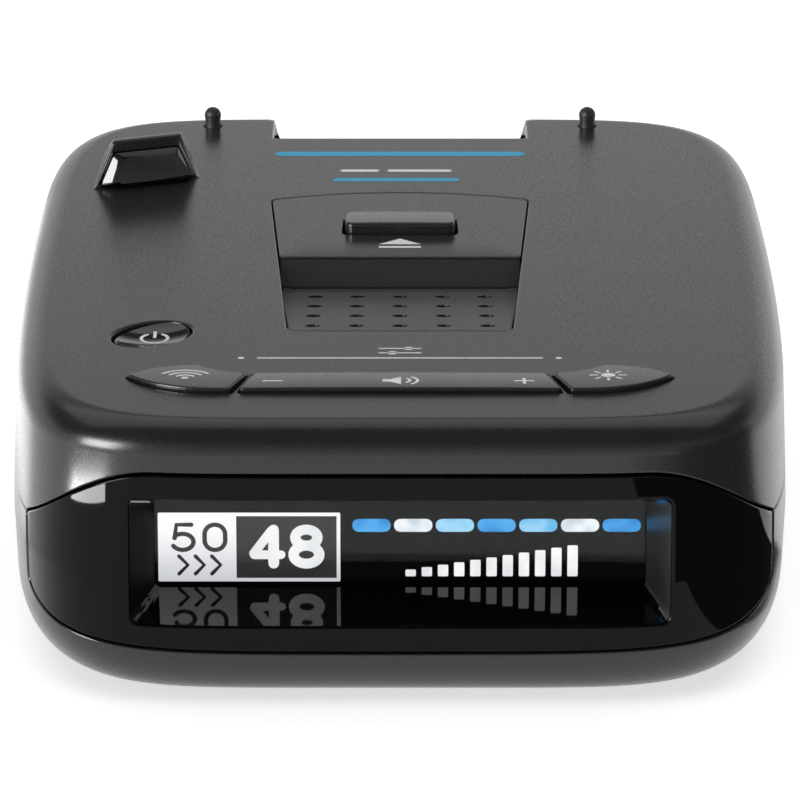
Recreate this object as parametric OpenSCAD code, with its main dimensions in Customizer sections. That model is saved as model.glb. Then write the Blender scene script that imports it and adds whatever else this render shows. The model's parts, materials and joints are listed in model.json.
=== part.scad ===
// Dashboard radar detector: moulded two-part case, glossy display bezel, top keys,
// mount slot with a sprung latch, and the boards, horn and speaker that it holds.
// Millimetres. +Z is up, the display faces -Y, the radar horn faces +Y.
// The origin is on the table, under the middle of the case.

/* [Case] */
// Width of the case at its widest
body_width = 75; // [74:0.5:78]
// Length of the case, from display face to radome face
body_length = 112.5; // [112:0.5:116]
// Height of the top cover's flat face
cover_top = 26.6; // [26.4:0.1:27]
// Thickness of the moulded walls
wall = 1.6; // [1.4:0.1:1.8]
// Gap at the seams between the case parts
seam = 0.2; // [0.1:0.05:0.3]
// Height of the line where cover and case part
parting_z = 15; // [14.8:0.1:15.4]
// How much narrower each side is at the display end
front_taper = 1.7; // [0:0.1:2.5]

/* [Display] */
// Width of the window in the bezel
window_width = 48.8; // [46:0.2:50]
// Height of the window's lower edge
window_low = 7.9; // [7.6:0.1:8.4]
// Height of the window's upper edge
window_high = 19.7; // [19:0.1:20]
// Depth of the recess in front of the display
recess_depth = 9.2; // [8:0.1:9.4]

/* [Keys] */
// Travel of the push keys
key_travel = 0.35; // [0.2:0.05:0.35]
// How far the keys stand above the cover
key_rise = 0.55; // [0.5:0.05:0.8]
// Gap around each key
key_gap = 0.25; // [0.2:0.05:0.3]
// Tilt of the volume rocker to each side, in degrees
rocker_tilt = 1.5; // [0.5:0.5:1.5]

/* [Mount slot] */
// Width of the slot that takes the mount's tongue
slot_width = 26.4; // [25:0.2:26.6]
// Height of the slot
slot_height = 4.6; // [4.2:0.1:4.6]
// Travel of the release button and its latch
release_travel = 1.8; // [1.5:0.1:1.8]
// Diameter of the earphone socket's bore
earphone_bore = 3.6; // [3.5:0.05:3.7]

/* [Hidden] */
$fn = 48;

// Case form
outline_steps = 88;
corner_power = 6.5;
widest_y = 14;
widest_z = 12;
side_draft = 0.04;
bottom_round = 6.3;
top_round = 2.9;
cover_inside = cover_top - wall;
front_y = -body_length / 2;
far_y = body_length / 2;
reach = 200;

// Bezel outline, seen from the front
bezel_side = 34;
bezel_flat = 22;
bezel_top = 22;
bezel_drop = 6.8;
bezel_low = 5.4;
bezel_low_rise = 5.1;

// Display stack, front to back
recess_end = front_y + recess_depth;
recess_end_half = 22.6;
recess_end_low = 8.5;
recess_end_high = 17.0;
recess_wall = 1.2;
lens_y = recess_end + 0.15;
lens_thick = 1.0;
panel_y = lens_y + lens_thick + 0.2;
panel_thick = 1.6;
display_board_y = panel_y + panel_thick + 0.2;

// Boards
main_board_z = 4.4;
main_board_top = 5.4;
key_board_z = 20.6;
key_board_top = 21.4;
switch_top = 22.6;
plunger_low = 22.3;
plunger_high = 23.1;
plunger_radius = 0.9;
plunger_bore = 1.05;
post_low = 23.12;
flange_low = 23.7;
flange_high = 24.6;
rocker_half = 14.6;
rocker_far_half = 13.3;
rocker_span = [-45.3, -39.95];
rocker_low = flange_high + 0.2 + rocker_half * sin(rocker_tilt);
switch_well = plunger_low - key_travel - 0.4;
switch_half = 2.1;
flange_width = 0.8;
stem_radius = 1.2;
pin_radius = 0.6;
lip_z = [23.9, 24.4];
dish_radius = 13;
dish_depth = 0.75;

// Key places
power_at = [-23.3, -27];
leaf_switch = [19.5, -41];
rocker_switch = [9, -43];
rocker_axis_z = 24.4;
rocker_y = -43;

// Release panel and pocket
step_z = 23.4;
step_y = -1.2;
ramp_end_y = -26;
pocket_floor_wall = 1.2;
button_y = [7.3, 12.6];
button_half = 5.5;
button_rise = 1.2;
button_gap = 0.25;

panel_far = [13.2, 20.3];
panel_near_half = 10.6;
panel_bow = -2.7;
panel_round = 1.4;
panel_lip = 1.2;
pocket_gap = 0.15;
hole_pitch = [4.15, 5.8];
hole_start = -5.6;
hole_radius = 0.7;

// Openings in the far end and the sides
radome_half = 16.5;
radome_low = 4.2;
laser_x = [19.4, 30.4];
laser_z = [7.4, 16.6];
power_opening = [[23.2, 5.4], [34.8, 13.8]];
usb_opening = [[-10.2, 5.2], [-1.7, 9.8]];
earphone_at = [10, 8.4];
earphone_collar = 3.0;
label_low = [-20, -8];
label_high = [20, 22];
label_depth = 0.3;

// Mount slot and latch
notch_y = 45;
notch_half = 13.6;
peg_y = 50.1;
peg_x = 20.2;
slot_floor = 19.0;
slot_end = 26;
slot_wall = 1.1;
cheek_x = 14.6;
cheek_half = 0.6;
well_y = [4, 22];
latch_base_z = [12.6, 13.4];
latch_low = latch_base_z[1] + release_travel + 0.4;
latch_arm_top = latch_low + 1.6;
tooth_high = slot_floor + release_travel - 0.2;
tooth_y = [28.8, 31.4];
spring_at = [0, 10];
spring_radius = 1.4;
spring_wire = 0.36;
spring_turns = 6;
spring_top = 21.4;

// Fasteners
case_posts = [[27.5, 44], [-27.5, 44], [27.5, -36], [-27.5, -36]];
channel_posts = [[17.8, 36], [-17.8, 36]];
key_posts = [[29.3, -45.4], [-29.3, -45.4], [-18.6, -33.8]];
case_post_radius = 2.3;
case_well_radius = 2.0;
case_pilot = 0.95;
channel_post_radius = 1.9;
channel_pilot = 0.75;
key_post_radius = 1.6;
key_pilot = 0.65;

// Rear laser pod: a ramp up to a window that faces the display end
pod_near = [[-31.5, 24.35], [-21.05, 28.8]];
pod_crest = [[-29.6, 25.18], [-22.7, 28.13]];
pod_far = [[-23.2, 45.2], [-31.0, 42.4]];
pod_height = 4.7;
pod_sink = 2;
pod_at = (pod_near[0] + pod_near[1]) / 2;
pod_turn = 23;
window_low_half = 5.15;
window_high_half = 3.5;
window_sill = 0.15;
window_head = 3.6;

// ---------- Shared shapes ----------

// Signed power, which keeps the sign of its base
function signed_power(base, power) = sign(base) * pow(abs(base), power);

// Half width of the case at a place along its length
function half_width(y) =
    body_width / 2 - front_taper * pow(max(0, widest_y - y) / (body_length / 2), 2);

// The case's outline at one height, drawn in by an inset
function outline(z, inset) = [
    for (i = [0 : outline_steps - 1])
        let (angle = 360 * (i + 0.5) / outline_steps,
             y = signed_power(sin(angle), 2 / corner_power) * (body_length / 2 - inset),
             x = signed_power(cos(angle), 2 / corner_power) * (half_width(y) - inset))
        [x, y, z]
];

// Height and inset of each ring of the case, up one side
function case_profile(inset) = concat(
    [for (a = [90 : -18 : 0])
        [bottom_round - (bottom_round - inset) * sin(a),
         inset + (bottom_round - inset) * (1 - cos(a))]],
    [[widest_z, inset]],
    [for (a = [0 : 22.5 : 90])
        [cover_top - top_round + (top_round - inset) * sin(a),
         inset + (top_round - inset) * (1 - cos(a))]]);

// Points along a bowed line from p to q
function bow(p, q, rise, steps = 8) =
    let (along = q - p, side = [-along[1], along[0]] / norm(along))
    [for (i = [0 : steps - 1])
        let (t = i / steps) p + along * t + side * rise * 4 * t * (1 - t)];

// Closed solid through a stack of rings that run anticlockwise seen from its far end
module loft(rings) {
    count = len(rings[0]);
    last = (len(rings) - 1) * count;
    sides = [
        for (level = [0 : len(rings) - 2], i = [0 : count - 1])
            let (a = level * count + i, b = level * count + (i + 1) % count)
            each [[a, a + count, b + count], [a, b + count, b]]
    ];
    polyhedron(
        points = [for (ring = rings) each ring],
        faces = concat([[for (i = [0 : count - 1]) i]],
                       sides,
                       [[for (i = [count - 1 : -1 : 0]) last + i]]),
        convexity = 6);
}

module case_form(inset) {
    loft([for (ring = case_profile(inset))
        outline(ring[0], ring[1] + side_draft * abs(ring[0] - widest_z))]);
}

module case_shell() {
    difference() {
        case_form(0);
        case_form(wall);
    }
}

// A box from its low corner to its high corner
module block(low, high) {
    translate(low) cube(high - low);
}

// A straight round bar along X
module bar_x(radius, x_low, x_high, at) {
    translate([x_low, at[0], at[1]]) rotate([0, 90, 0]) cylinder(r = radius, h = x_high - x_low);
}

module post(at, radius, z_low, z_high) {
    translate([at[0], at[1], z_low]) cylinder(r = radius, h = z_high - z_low);
}

// Everything in front of the display that belongs to the bezel, with a margin
module bezel_region(margin) {
    side = bezel_side + margin;
    steps = [-1 : 0.05 : 1];
    upper = [for (t = steps) let (x = -t * side)
        [x, bezel_top + margin
            - bezel_drop * pow(max(0, abs(x) - bezel_flat) / (bezel_side - bezel_flat), 2)]];
    lower = [for (t = steps) let (x = t * side)
        [x, bezel_low + bezel_low_rise - margin
            - bezel_low_rise * pow(max(0, 1 - pow(t, 4)), 0.25)]];
    translate([0, -44, 0]) rotate([90, 0, 0]) linear_extrude(30) polygon(concat(upper, lower));
}

// One ring of the display recess, at a place along Y
function recess_ring(y, margin) =
    let (t = (y - front_y) / recess_depth,
         half = window_width / 2 + (recess_end_half - window_width / 2) * t + margin,
         low = window_low + (recess_end_low - window_low) * t - margin,
         high = window_high + (recess_end_high - window_high) * t + margin,
         round = 0.7 + margin / 2)
    [for (corner = [[1, 1], [-1, 1], [-1, -1], [1, -1]], step = [0 : 3])
        let (base = corner == [1, 1] ? 0 : corner == [-1, 1] ? 90 : corner == [-1, -1] ? 180 : 270,
             a = base + step * 30,
             z_mid = corner[0] > 0 ? high - round : low + round,
             x_mid = corner[1] * (half - round))
        [x_mid + round * sin(a), y, z_mid + round * cos(a)]];

// Leaf-shaped key, on the right-hand side
leaf_tip = [24.9, -40.9];
leaf_peak = [18.7, -37.6];
leaf_far = [14.0, -40.4];
leaf_near = [15.5, -45.4];
module leaf_outline() {
    polygon(concat(bow(leaf_tip, leaf_peak, -0.85), bow(leaf_peak, leaf_far, 0.55),
                   [leaf_far, leaf_near], bow(leaf_near, leaf_tip, -1.55)));
}

module rocker_outline() {
    polygon([[-rocker_far_half, rocker_span[1]], [-rocker_half, rocker_span[0]],
             [rocker_half, rocker_span[0]], [rocker_far_half, rocker_span[1]]]);
}

// Oval of the power button
power_axes = [4.3, 3.15];
power_axis_turn = 58;
module power_outline(margin) {
    translate(power_at) rotate(power_axis_turn)
        polygon([for (i = [0 : 35]) [cos(i * 10) * (power_axes[0] + margin),
                                     sin(i * 10) * (power_axes[1] + margin)]]);
}

// Trapezoid of the release panel, with a bowed far edge and round corners
module panel_outline(margin) {
    far = [panel_far, [-panel_far[0], panel_far[1]]];
    near = [[-panel_near_half, ramp_end_y], [panel_near_half, ramp_end_y]];
    offset(delta = margin) offset(r = panel_round, $fn = 24) offset(delta = -panel_round)
        polygon(concat(bow(far[0], far[1], panel_bow, 12), [far[1]], near));
}

// Space above the ramp's surface, lowered by a depth
module above_ramp(depth) {
    rotate([90, 0, 90]) translate([0, 0, -20]) linear_extrude(40)
        polygon([[step_y, step_z - depth], [ramp_end_y - 2, cover_top + 0.25 - depth],
                 [ramp_end_y - 2, 40], [step_y, 40]]);
}

// A corner of the pod's footprint, moved towards its middle
function inwards(p, distance) =
    let (middle = (pod_near[0] + pod_far[0]) / 2) p + (middle - p) / norm(middle - p) * distance;

// Ramp of the rear laser pod, drawn in by an inset
module pod_form(inset) {
    foot = [for (p = concat(pod_near, pod_far)) inwards(p, inset * 1.4)];
    crest = [for (p = concat(pod_crest, pod_far)) inwards(p, inset * 1.4)];
    loft([[for (p = foot) [p[0], p[1], cover_top - pod_sink]],
          [for (p = foot) [p[0], p[1], cover_top - inset]],
          [for (i = [0 : 3]) [crest[i][0], crest[i][1],
                              cover_top + 0.02 - inset + (i < 2 ? pod_height : 0)]]]);
}

// Window that fills the pod's face, in its own opening with a gap
module pod_window(gap) {
    translate([pod_at[0], pod_at[1], 0]) rotate([0, 0, pod_turn]) intersection() {
        block([-6, -1, cover_inside - 1], [6, 2 + gap, cover_top + 8]);
        translate([0, 4, 0]) rotate([90, 0, 0]) linear_extrude(6)
            polygon([[-window_low_half - gap, cover_top + window_sill - 2.4 - gap],
                     [window_low_half + gap, cover_top + window_sill - 2.4 - gap],
                     [window_low_half + gap, cover_top + window_sill],
                     [window_high_half + gap, cover_top + window_head + gap],
                     [-window_high_half - gap, cover_top + window_head + gap],
                     [-window_low_half - gap, cover_top + window_sill]]);
    }
}

// Places of the openings in the far end and the side
module radome_region(margin) {
    block([-radome_half - margin, 50, radome_low - margin],
          [radome_half + margin, 60, slot_floor - slot_wall - 0.4 + margin]);
}

module laser_region(margin) {
    block([laser_x[0] - margin, 48, laser_z[0] - margin],
          [laser_x[1] + margin, 60, laser_z[1] + margin]);
}

// ---------- Case ----------

module top_cover() color("#5a5a5c") difference() {
    union() {
        intersection() {
            case_shell();
            block([-reach, -reach, parting_z + seam / 2], [reach, reach, 40]);
        }
        pod_form(0);
        for (at = case_posts)
            post(at, case_post_radius, main_board_top + 0.1, cover_inside + 0.4);
        for (at = channel_posts)
            post(at, channel_post_radius, slot_floor + 0.1, cover_inside + 0.4);
        for (at = key_posts)
            post(at, key_post_radius, key_board_top + 0.05, cover_inside + 0.4);
    }
    bezel_region(seam);
    radome_region(seam);
    laser_region(seam);
    // Notch over the mount slot, and the slot's mouth
    block([-notch_half, notch_y, slot_floor - slot_wall - 0.2], [notch_half, 70, 40]);
    block([-slot_width / 2 - slot_wall - 0.2, far_y - wall - 1.4, slot_floor - slot_wall - 0.2],
          [slot_width / 2 + slot_wall + 0.2, 70, slot_floor + slot_height + 1.2]);
    // Release panel
    translate([0, 0, cover_inside - 1]) linear_extrude(10) panel_outline(0);
    // Keys
    translate([0, 0, cover_inside - 1]) linear_extrude(10) {
        offset(delta = key_gap) leaf_outline();
        mirror([1, 0]) offset(delta = key_gap) leaf_outline();
        offset(delta = key_gap) rocker_outline();
        power_outline(key_gap);
    }
    pod_form(0.9);
    pod_window(0.12);
    // Screw pilots
    for (at = case_posts) post(at, case_pilot, 0, 14);
    for (at = channel_posts) post(at, channel_pilot, 0, 24.2);
    for (at = key_posts) post(at, key_pilot, 0, 24.4);
    // Seats of the bumper pegs
    for (x = [-peg_x, peg_x]) post([x, peg_y], 0.95, cover_inside - 1, 40);
}

module bottom_case() color("#48484a") difference() {
    union() {
        intersection() {
            case_shell();
            block([-reach, -reach, -1], [reach, reach, parting_z - seam / 2]);
        }
        for (at = case_posts)
            post(at, case_well_radius + 0.6, wall - 0.4, main_board_z - 0.1);
    }
    bezel_region(seam);
    radome_region(seam);
    laser_region(seam);
    for (at = case_posts) {
        post(at, 1.25, -1, 10);
        post(at, case_well_radius, -1, 1.2);
    }
    // Label recess
    block([label_low[0], label_low[1], -1], [label_high[0], label_high[1], label_depth]);
    // Side sockets
    block(concat(30, power_opening[0]), concat(40, power_opening[1]));
    bar_x(earphone_collar + 0.3, 30, 40, earphone_at);
    block(concat(30, usb_opening[0]), concat(40, usb_opening[1]));
}

module front_bezel() color("#141414") difference() {
    union() {
        intersection() {
            case_shell();
            bezel_region(0);
        }
        intersection() {
            loft([recess_ring(front_y + 0.6, recess_wall), recess_ring(recess_end, recess_wall)]);
            case_form(0.4);
        }
    }
    loft([recess_ring(front_y - 3, 0), recess_ring(recess_end + 1, 0)]);
}

module release_panel() color("#5c5c5e") difference() {
    union() {
        translate([0, 0, step_z - pocket_floor_wall])
            linear_extrude(cover_inside - pocket_gap - step_z + pocket_floor_wall)
                panel_outline(panel_lip);
        translate([0, 0, step_z]) linear_extrude(cover_top - step_z) panel_outline(-pocket_gap);
    }
    // Pocket over the ramp
    intersection() {
        above_ramp(0);
        translate([0, 0, 10]) linear_extrude(30) panel_outline(0);
    }
    // Hollow under the ramp
    difference() {
        translate([0, 0, 10]) linear_extrude(cover_top - 10) panel_outline(-1.3);
        above_ramp(pocket_floor_wall);
        block([-reach, step_y - 1.2, 0], [reach, reach, 40]);
    }
    // Hollow under the flush half
    intersection() {
        translate([0, 0, 10]) linear_extrude(14) panel_outline(-1.3);
        block([-reach, step_y + 1.4, 0], [reach, reach, 40]);
    }
    // Slot of the release button
    block([-button_half - button_gap, button_y[0] - button_gap, 20],
          [button_half + button_gap, button_y[1] + button_gap, 40]);
    // Speaker holes
    for (column = [-2 : 2], row = [0 : 3])
        post([column * hole_pitch[0], hole_start - row * hole_pitch[1]], hole_radius, 10, 40);
}

module radome_panel() color("#3a3a3c") intersection() {
    difference() {
        case_form(0.1);
        case_form(wall + 0.4);
    }
    radome_region(0);
}

module front_laser_lens() color("#1c0f12") intersection() {
    difference() {
        case_form(0.1);
        case_form(wall + 0.4);
    }
    laser_region(0);
}

module rear_laser_lens() color("#101012") intersection() {
    pod_window(0);
    pod_form(0.25);
}

module bumper_pegs() color("#161616") for (x = [-peg_x, peg_x]) {
    post([x, peg_y], 0.9, cover_inside - 1.2, cover_top + 1.2);
    translate([x, peg_y, cover_top + 1.2]) sphere(r = 0.9);
    post([x, peg_y], 1.5, cover_inside - 1.2, cover_inside - 0.1);
}

module rating_label() color("#b9b9b9") 
    block([label_low[0] + 0.3, label_low[1] + 0.3, 0.12],
          [label_high[0] - 0.3, label_high[1] - 0.3, 0.29]);

// ---------- Mount ----------

module mount_channel() color("#2e2e30") difference() {
    union() {
        // Box around the slot
        block([-slot_width / 2 - slot_wall, slot_end - slot_wall, slot_floor - slot_wall],
              [slot_width / 2 + slot_wall, far_y - 0.6, slot_floor + slot_height + 1]);
        // Cheeks and base of the latch's well
        for (side = [-1, 1])
            block([side * cheek_x - cheek_half, well_y[0], latch_base_z[0]],
                  [side * cheek_x + cheek_half, 30, slot_floor]);
        block([-cheek_x - cheek_half, well_y[0], latch_base_z[0]],
              [cheek_x + cheek_half, well_y[1], latch_base_z[1]]);
        post(spring_at, 0.8, latch_base_z[1] - 0.1, 17.4);
        for (at = channel_posts) {
            post(at, 2.2, slot_floor - slot_wall, slot_floor);
            block([min(0, at[0]), at[1] - 2.2, slot_floor - slot_wall],
                  [max(0, at[0]), at[1] + 2.2, slot_floor]);
        }
    }
    block([-slot_width / 2, slot_end, slot_floor], [slot_width / 2, 70, slot_floor + slot_height]);
    // The roof is open over the cover's notch
    block([-notch_half, notch_y, slot_floor], [notch_half, 70, 40]);
    // Window for the latch's tooth
    block([-3.4, tooth_y[0] - 0.4, 10], [3.4, tooth_y[1] + 0.4, slot_floor + 0.1]);
    for (at = channel_posts) post(at, 1.0, 10, 40);
}

module release_button() color("#6a6a6c") union() {
    block([-button_half, button_y[0], 22.6], [button_half, button_y[1], cover_top + button_rise]);
    block([-6.8, 6.2, 22.6], [6.8, 13.7, 23.8]);
}

module mount_latch() color("#c9c9c9") difference() {
    union() {
        block([-4.5, 7.2, latch_low], [4.5, 12.8, 22.55]);
        block([-4.5, 7.2, latch_low], [4.5, 32, latch_arm_top]);
        // Tooth, sloped so that a tongue pushed in rides over it
        translate([-3, 0, 0]) rotate([90, 0, 90]) linear_extrude(6)
            polygon([[tooth_y[0], latch_low], [tooth_y[1], latch_low],
                     [tooth_y[1], slot_floor - 0.4], [tooth_y[0] + 0.8, tooth_high],
                     [tooth_y[0], tooth_high]]);
    }
    post(spring_at, 1.9, 10, spring_top);
}

// Coil spring under the release button
module latch_spring() color("silver") {
    sides = 8;
    rings_per_turn = 12;
    low = latch_base_z[1] + spring_wire / 2 + 0.02;
    rise = spring_top - spring_wire / 2 - 0.02 - low;
    count = spring_turns * rings_per_turn;
    loft([for (i = [0 : count])
        let (turn = 360 * i / rings_per_turn,
             out = [cos(turn), sin(turn), 0],
             centre = [spring_at[0], spring_at[1], low + rise * i / count]
                      + out * spring_radius)
        [for (k = [0 : sides - 1]) let (a = -360 * k / sides)
            centre + (out * cos(a) + [0, 0, 1] * sin(a)) * spring_wire / 2]]);
}

module channel_screws() color("silver") for (at = channel_posts) {
    post(at, 0.7, slot_floor - slot_wall - 0.1, 23.6);
    post(at, 1.5, slot_floor - slot_wall - 1.2, slot_floor - slot_wall - 0.05);
}

// ---------- Display ----------

module display_lens() color("#202428", 0.5)
    block([-24, lens_y, 7.2], [24, lens_y + lens_thick, 18.4]);

module display_panel() color("#050505")
    block([-23.6, panel_y, 7.6], [23.6, panel_y + panel_thick, 17.8]);

module display_board() color("#1f5c33")
    block([-25, display_board_y, 6.5], [25, display_board_y + 1, 19.5]);

module display_holder() color("#2a2a2a") difference() {
    block([-26.6, lens_y, 5.7], [26.6, display_board_y + 1, 20.2]);
    block([-25.2, lens_y - 1, 6.3], [25.2, display_board_y + 2, 19.7]);
}

module ribbon_cable() color("#c8862a")
    translate([-6, 0, 0]) rotate([90, 0, 90]) linear_extrude(12)
        polygon([[display_board_y + 1.1, 12], [display_board_y + 1.4, 12],
                 [display_board_y + 1.4, 8.3], [-36, main_board_top + 0.5],
                 [-34, main_board_top + 0.5], [-34, main_board_top + 0.2],
                 [-36.1, main_board_top + 0.2], [display_board_y + 1.1, 8.2]]);

// ---------- Keys ----------

module key_board() color("#1f5c33") difference() {
    union() {
        block([-30.8, -47.5, key_board_z], [30.8, -36.4, key_board_top]);
        block([-28.8, -36.5, key_board_z], [-16.8, -20.6, key_board_top]);
    }
    for (side = [-1, 1]) post([side * 27.5, -36], 2.7, 10, 30);
    for (at = key_posts) post(at, 0.95, 10, 30);
}

switch_places = [power_at, leaf_switch, [-leaf_switch[0], leaf_switch[1]],
                 rocker_switch, [-rocker_switch[0], rocker_switch[1]], [0, rocker_y]];
module key_switches() color("#9a9a9a") for (at = switch_places) difference() {
    block([at[0] - switch_half, at[1] - switch_half, key_board_top + 0.02],
          [at[0] + switch_half, at[1] + switch_half, switch_top]);
    post(at, plunger_bore, switch_well, 30);
}

module plunger(at) {
    post(at, plunger_radius, plunger_low, plunger_high);
}

module power_plunger() color("#202020") plunger(power_at);

module left_plunger() color("#202020") plunger([-leaf_switch[0], leaf_switch[1]]);

module right_plunger() color("#202020") plunger(leaf_switch);

module mute_plunger() color("#202020") plunger([0, rocker_y]);

module rocker_plungers() color("#202020") for (side = [-1, 1])
    plunger([side * rocker_switch[0], rocker_switch[1]]);

module power_button() color("#1c1c1c") difference() {
    union() {
        translate([0, 0, flange_low]) linear_extrude(cover_top - 0.1 - flange_low)
            power_outline(0);
        translate([0, 0, flange_low]) linear_extrude(flange_high - flange_low)
            power_outline(flange_width);
        post(power_at, stem_radius, post_low, flange_low + 0.1);
    }
    // Finger dish
    translate([power_at[0], power_at[1], cover_top + dish_radius - dish_depth])
        sphere(r = dish_radius, $fn = 96);
}

module leaf_key() {
    translate([0, 0, flange_low]) linear_extrude(cover_top + key_rise - flange_low)
        leaf_outline();
    difference() {
        translate([0, 0, flange_low]) linear_extrude(flange_high - flange_low)
            offset(delta = flange_width) leaf_outline();
        translate([0, 0, 20]) linear_extrude(10) offset(delta = key_gap + 0.2) rocker_outline();
    }
    post(leaf_switch, stem_radius, post_low, flange_low + 0.1);
}

module left_button() color("#4a4a4c") mirror([1, 0, 0]) leaf_key();

module right_button() color("#4a4a4c") leaf_key();

// Carries the rocker's pivot pin, and presses the mute switch
module key_carrier() color("#303030") union() {
    block([-2.6, rocker_y - 1.8, post_low + 0.28], [2.6, rocker_y + 1.8, rocker_axis_z - 0.75]);
    block([-0.9, rocker_y - 0.7, post_low + 0.28], [0.9, rocker_y + 0.7, rocker_axis_z]);
    translate([0, rocker_y + 1.8, rocker_axis_z]) rotate([90, 0, 0])
        cylinder(r = pin_radius, h = 3.6);
    post([0, rocker_y], 1.1, post_low, post_low + 0.4);
}

module volume_rocker() color("#4a4a4c") difference() {
    union() {
        translate([0, 0, rocker_low]) linear_extrude(cover_top + key_rise - rocker_low)
            rocker_outline();
        for (side = [-1, 1]) {
            // Ears that clip on the pivot pin
            block([-1.3, rocker_y + side * 1.3 - 0.45, rocker_axis_z - 0.4],
                  [1.3, rocker_y + side * 1.3 + 0.45, rocker_low + 0.1]);
            // Feet over the switches
            post([side * rocker_switch[0], rocker_switch[1]], 0.85, post_low, rocker_low + 0.1);
            // Lips that keep the bar in the cover
            block([side * 8 - 3, rocker_y + 1.9, lip_z[0]],
                  [side * 8 + 3, rocker_y + 3.9, lip_z[1]]);
            block([side * 8 - 3, rocker_y + 1.2, lip_z[0]],
                  [side * 8 + 3, rocker_y + 2.1, rocker_low + 0.1]);
        }
    }
    translate([0, rocker_y + 3, rocker_axis_z]) rotate([90, 0, 0])
        cylinder(r = pin_radius + 0.05, h = 6);
}

module key_board_screws() color("silver") for (at = key_posts) {
    post(at, 0.6, key_board_z - 0.1, 23.8);
    post(at, 1.2, key_board_z - 1, key_board_z - 0.05);
}

// ---------- Boards, horn and sensors ----------

module main_board() color("#1f5c33") difference() {
    block([-30, -39, main_board_z], [30, 47, main_board_top]);
    for (at = case_posts) post(at, 1.4, 0, 10);
}

function horn_section(y, half, low, high) =
    [[half, y, high], [half, y, low], [-half, y, low], [-half, y, high]];

module horn_antenna() color("#b8b8b0") difference() {
    union() {
        loft([horn_section(33.5, 6.5, main_board_top + 0.1, 11.8),
              horn_section(53.2, 15.4, main_board_top + 0.1, 17.2)]);
        block([-6.5, 21, main_board_top + 0.1], [6.5, 34, 11.8]);
    }
    loft([horn_section(33.5, 5.4, 6.4, 10.9), horn_section(54.2, 14.9, 5.9, 16.9)]);
    block([-5.4, 22, 6.4], [5.4, 33.6, 10.9]);
}

module rf_shield() color("#c4c4c4") difference() {
    block([-14, -12, main_board_top + 0.05], [14, 20.5, 10.6]);
    block([-13.6, -11.6, main_board_top - 1], [13.6, 20.1, 10.2]);
}

module front_laser_diode() color("#222230") union() {
    block([22.4, 49.6, 6.2], [27.4, 51.4, 13.6]);
    translate([24.9, 51.3, 11.4]) rotate([-90, 0, 0]) cylinder(r = 1.9, h = 1.2);
}

module rear_laser_board() color("#1f5c33")
    translate([pod_at[0], pod_at[1], 0]) rotate([0, 0, pod_turn])
        block([-1.6, 5.2, 21.5], [3.2, 6.0, 27.4]);

module rear_laser_diode() color("#222230")
    translate([pod_at[0], pod_at[1], 0]) rotate([0, 0, pod_turn])
        translate([0, 5.1, 26.2]) rotate([90, 0, 0]) cylinder(r = 1.5, h = 1.6);

// ---------- Speaker ----------

speaker_at = [0, -13.6];

module speaker_basket() color("#8c8c8c") translate([speaker_at[0], speaker_at[1], 0])
    rotate_extrude() polygon([[2.2, 16.3], [6.2, 16.3], [9.4, 20.6], [10, 20.6], [10, 21.5],
                              [9, 21.5], [5.8, 17.1], [2.2, 17.1]]);

module speaker_cone() color("#2b2b2b") translate([speaker_at[0], speaker_at[1], 0])
    rotate_extrude() polygon([[0, 18.9], [3, 18.3], [8.4, 21.1], [8.9, 21.5], [8.4, 21.6],
                              [3, 18.8], [0, 19.4]]);

module speaker_magnet() color("#4b4b50")
    translate([speaker_at[0], speaker_at[1], 13.2]) cylinder(r = 6.6, h = 3.0);

module speaker_gasket() color("#101010") difference() {
    post(speaker_at, 10, 21.65, 22.15);
    post(speaker_at, 8.9, 20, 30);
}

// ---------- Sockets ----------

module power_jack() color("#1a1a1a") difference() {
    union() {
        block([22, 22.4, main_board_top + 0.05], [35.0, 35.6, 13.8]);
        block([34.9, 23.4, 5.6], [36.8, 34.6, 13.6]);
    }
    block([24, 24.15, 6.3], [40, 33.85, 12.9]);
    block([26, 27, 12], [40, 31, 13.4]);
}

module power_contacts() color("#d8b13a") for (i = [-1.5 : 1 : 1.5])
    translate([0, 29 + i * 1.2, 0]) rotate([90, 0, 0]) translate([0, 0, -0.2]) linear_extrude(0.4)
        polygon([[24.05, 12.0], [24.05, 12.5], [24.6, 12.6], [31, 11.3], [30.8, 11.0]]);

module earphone_jack() color("#1a1a1a") difference() {
    union() {
        block([24, 6, main_board_top + 0.05], [35.0, 14, 11.6]);
        bar_x(earphone_collar, 34.9, 36.8, earphone_at);
    }
    bar_x(earphone_bore / 2, 24.8, 40, earphone_at);
}

module usb_port() color("#c0c0c0") difference() {
    block([27.5, -9.9, main_board_top + 0.05], [36.8, -2, 9.5]);
    block([28, -9.5, 5.85], [40, -2.4, 9.1]);
}

module case_screws() color("#303030") for (at = case_posts) {
    post(at, 0.9, 1.15, 13);
    post(at, 1.8, 0.2, 1.15);
}

top_cover();
bottom_case();
front_bezel();
release_panel();
mount_channel();
radome_panel();
front_laser_lens();
rear_laser_lens();
bumper_pegs();
display_lens();
display_panel();
display_board();
display_holder();
key_board();
key_switches();
main_board();
horn_antenna();
rf_shield();
speaker_basket();
speaker_cone();
speaker_magnet();
speaker_gasket();
front_laser_diode();
rear_laser_board();
rear_laser_diode();
power_jack();
power_contacts();
earphone_jack();
usb_port();
ribbon_cable();
rating_label();
case_screws();
channel_screws();
key_board_screws();
power_button();
power_plunger();
left_button();
left_plunger();
right_button();
right_plunger();
key_carrier();
mute_plunger();
volume_rocker();
rocker_plungers();
release_button();
mount_latch();
latch_spring();
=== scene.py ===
"""Looks of the radar detector: moulded shells, lit display, keys, printed marks and a plain studio.

Lengths are in millimetres until a mesh is made, in the same frame as the CAD part:
+Z is up, the display faces -Y, and the origin is on the table under the middle of the case."""

import json
import math

import bpy
import numpy as np
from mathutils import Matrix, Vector
from mathutils.geometry import delaunay_2d_cdt


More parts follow.
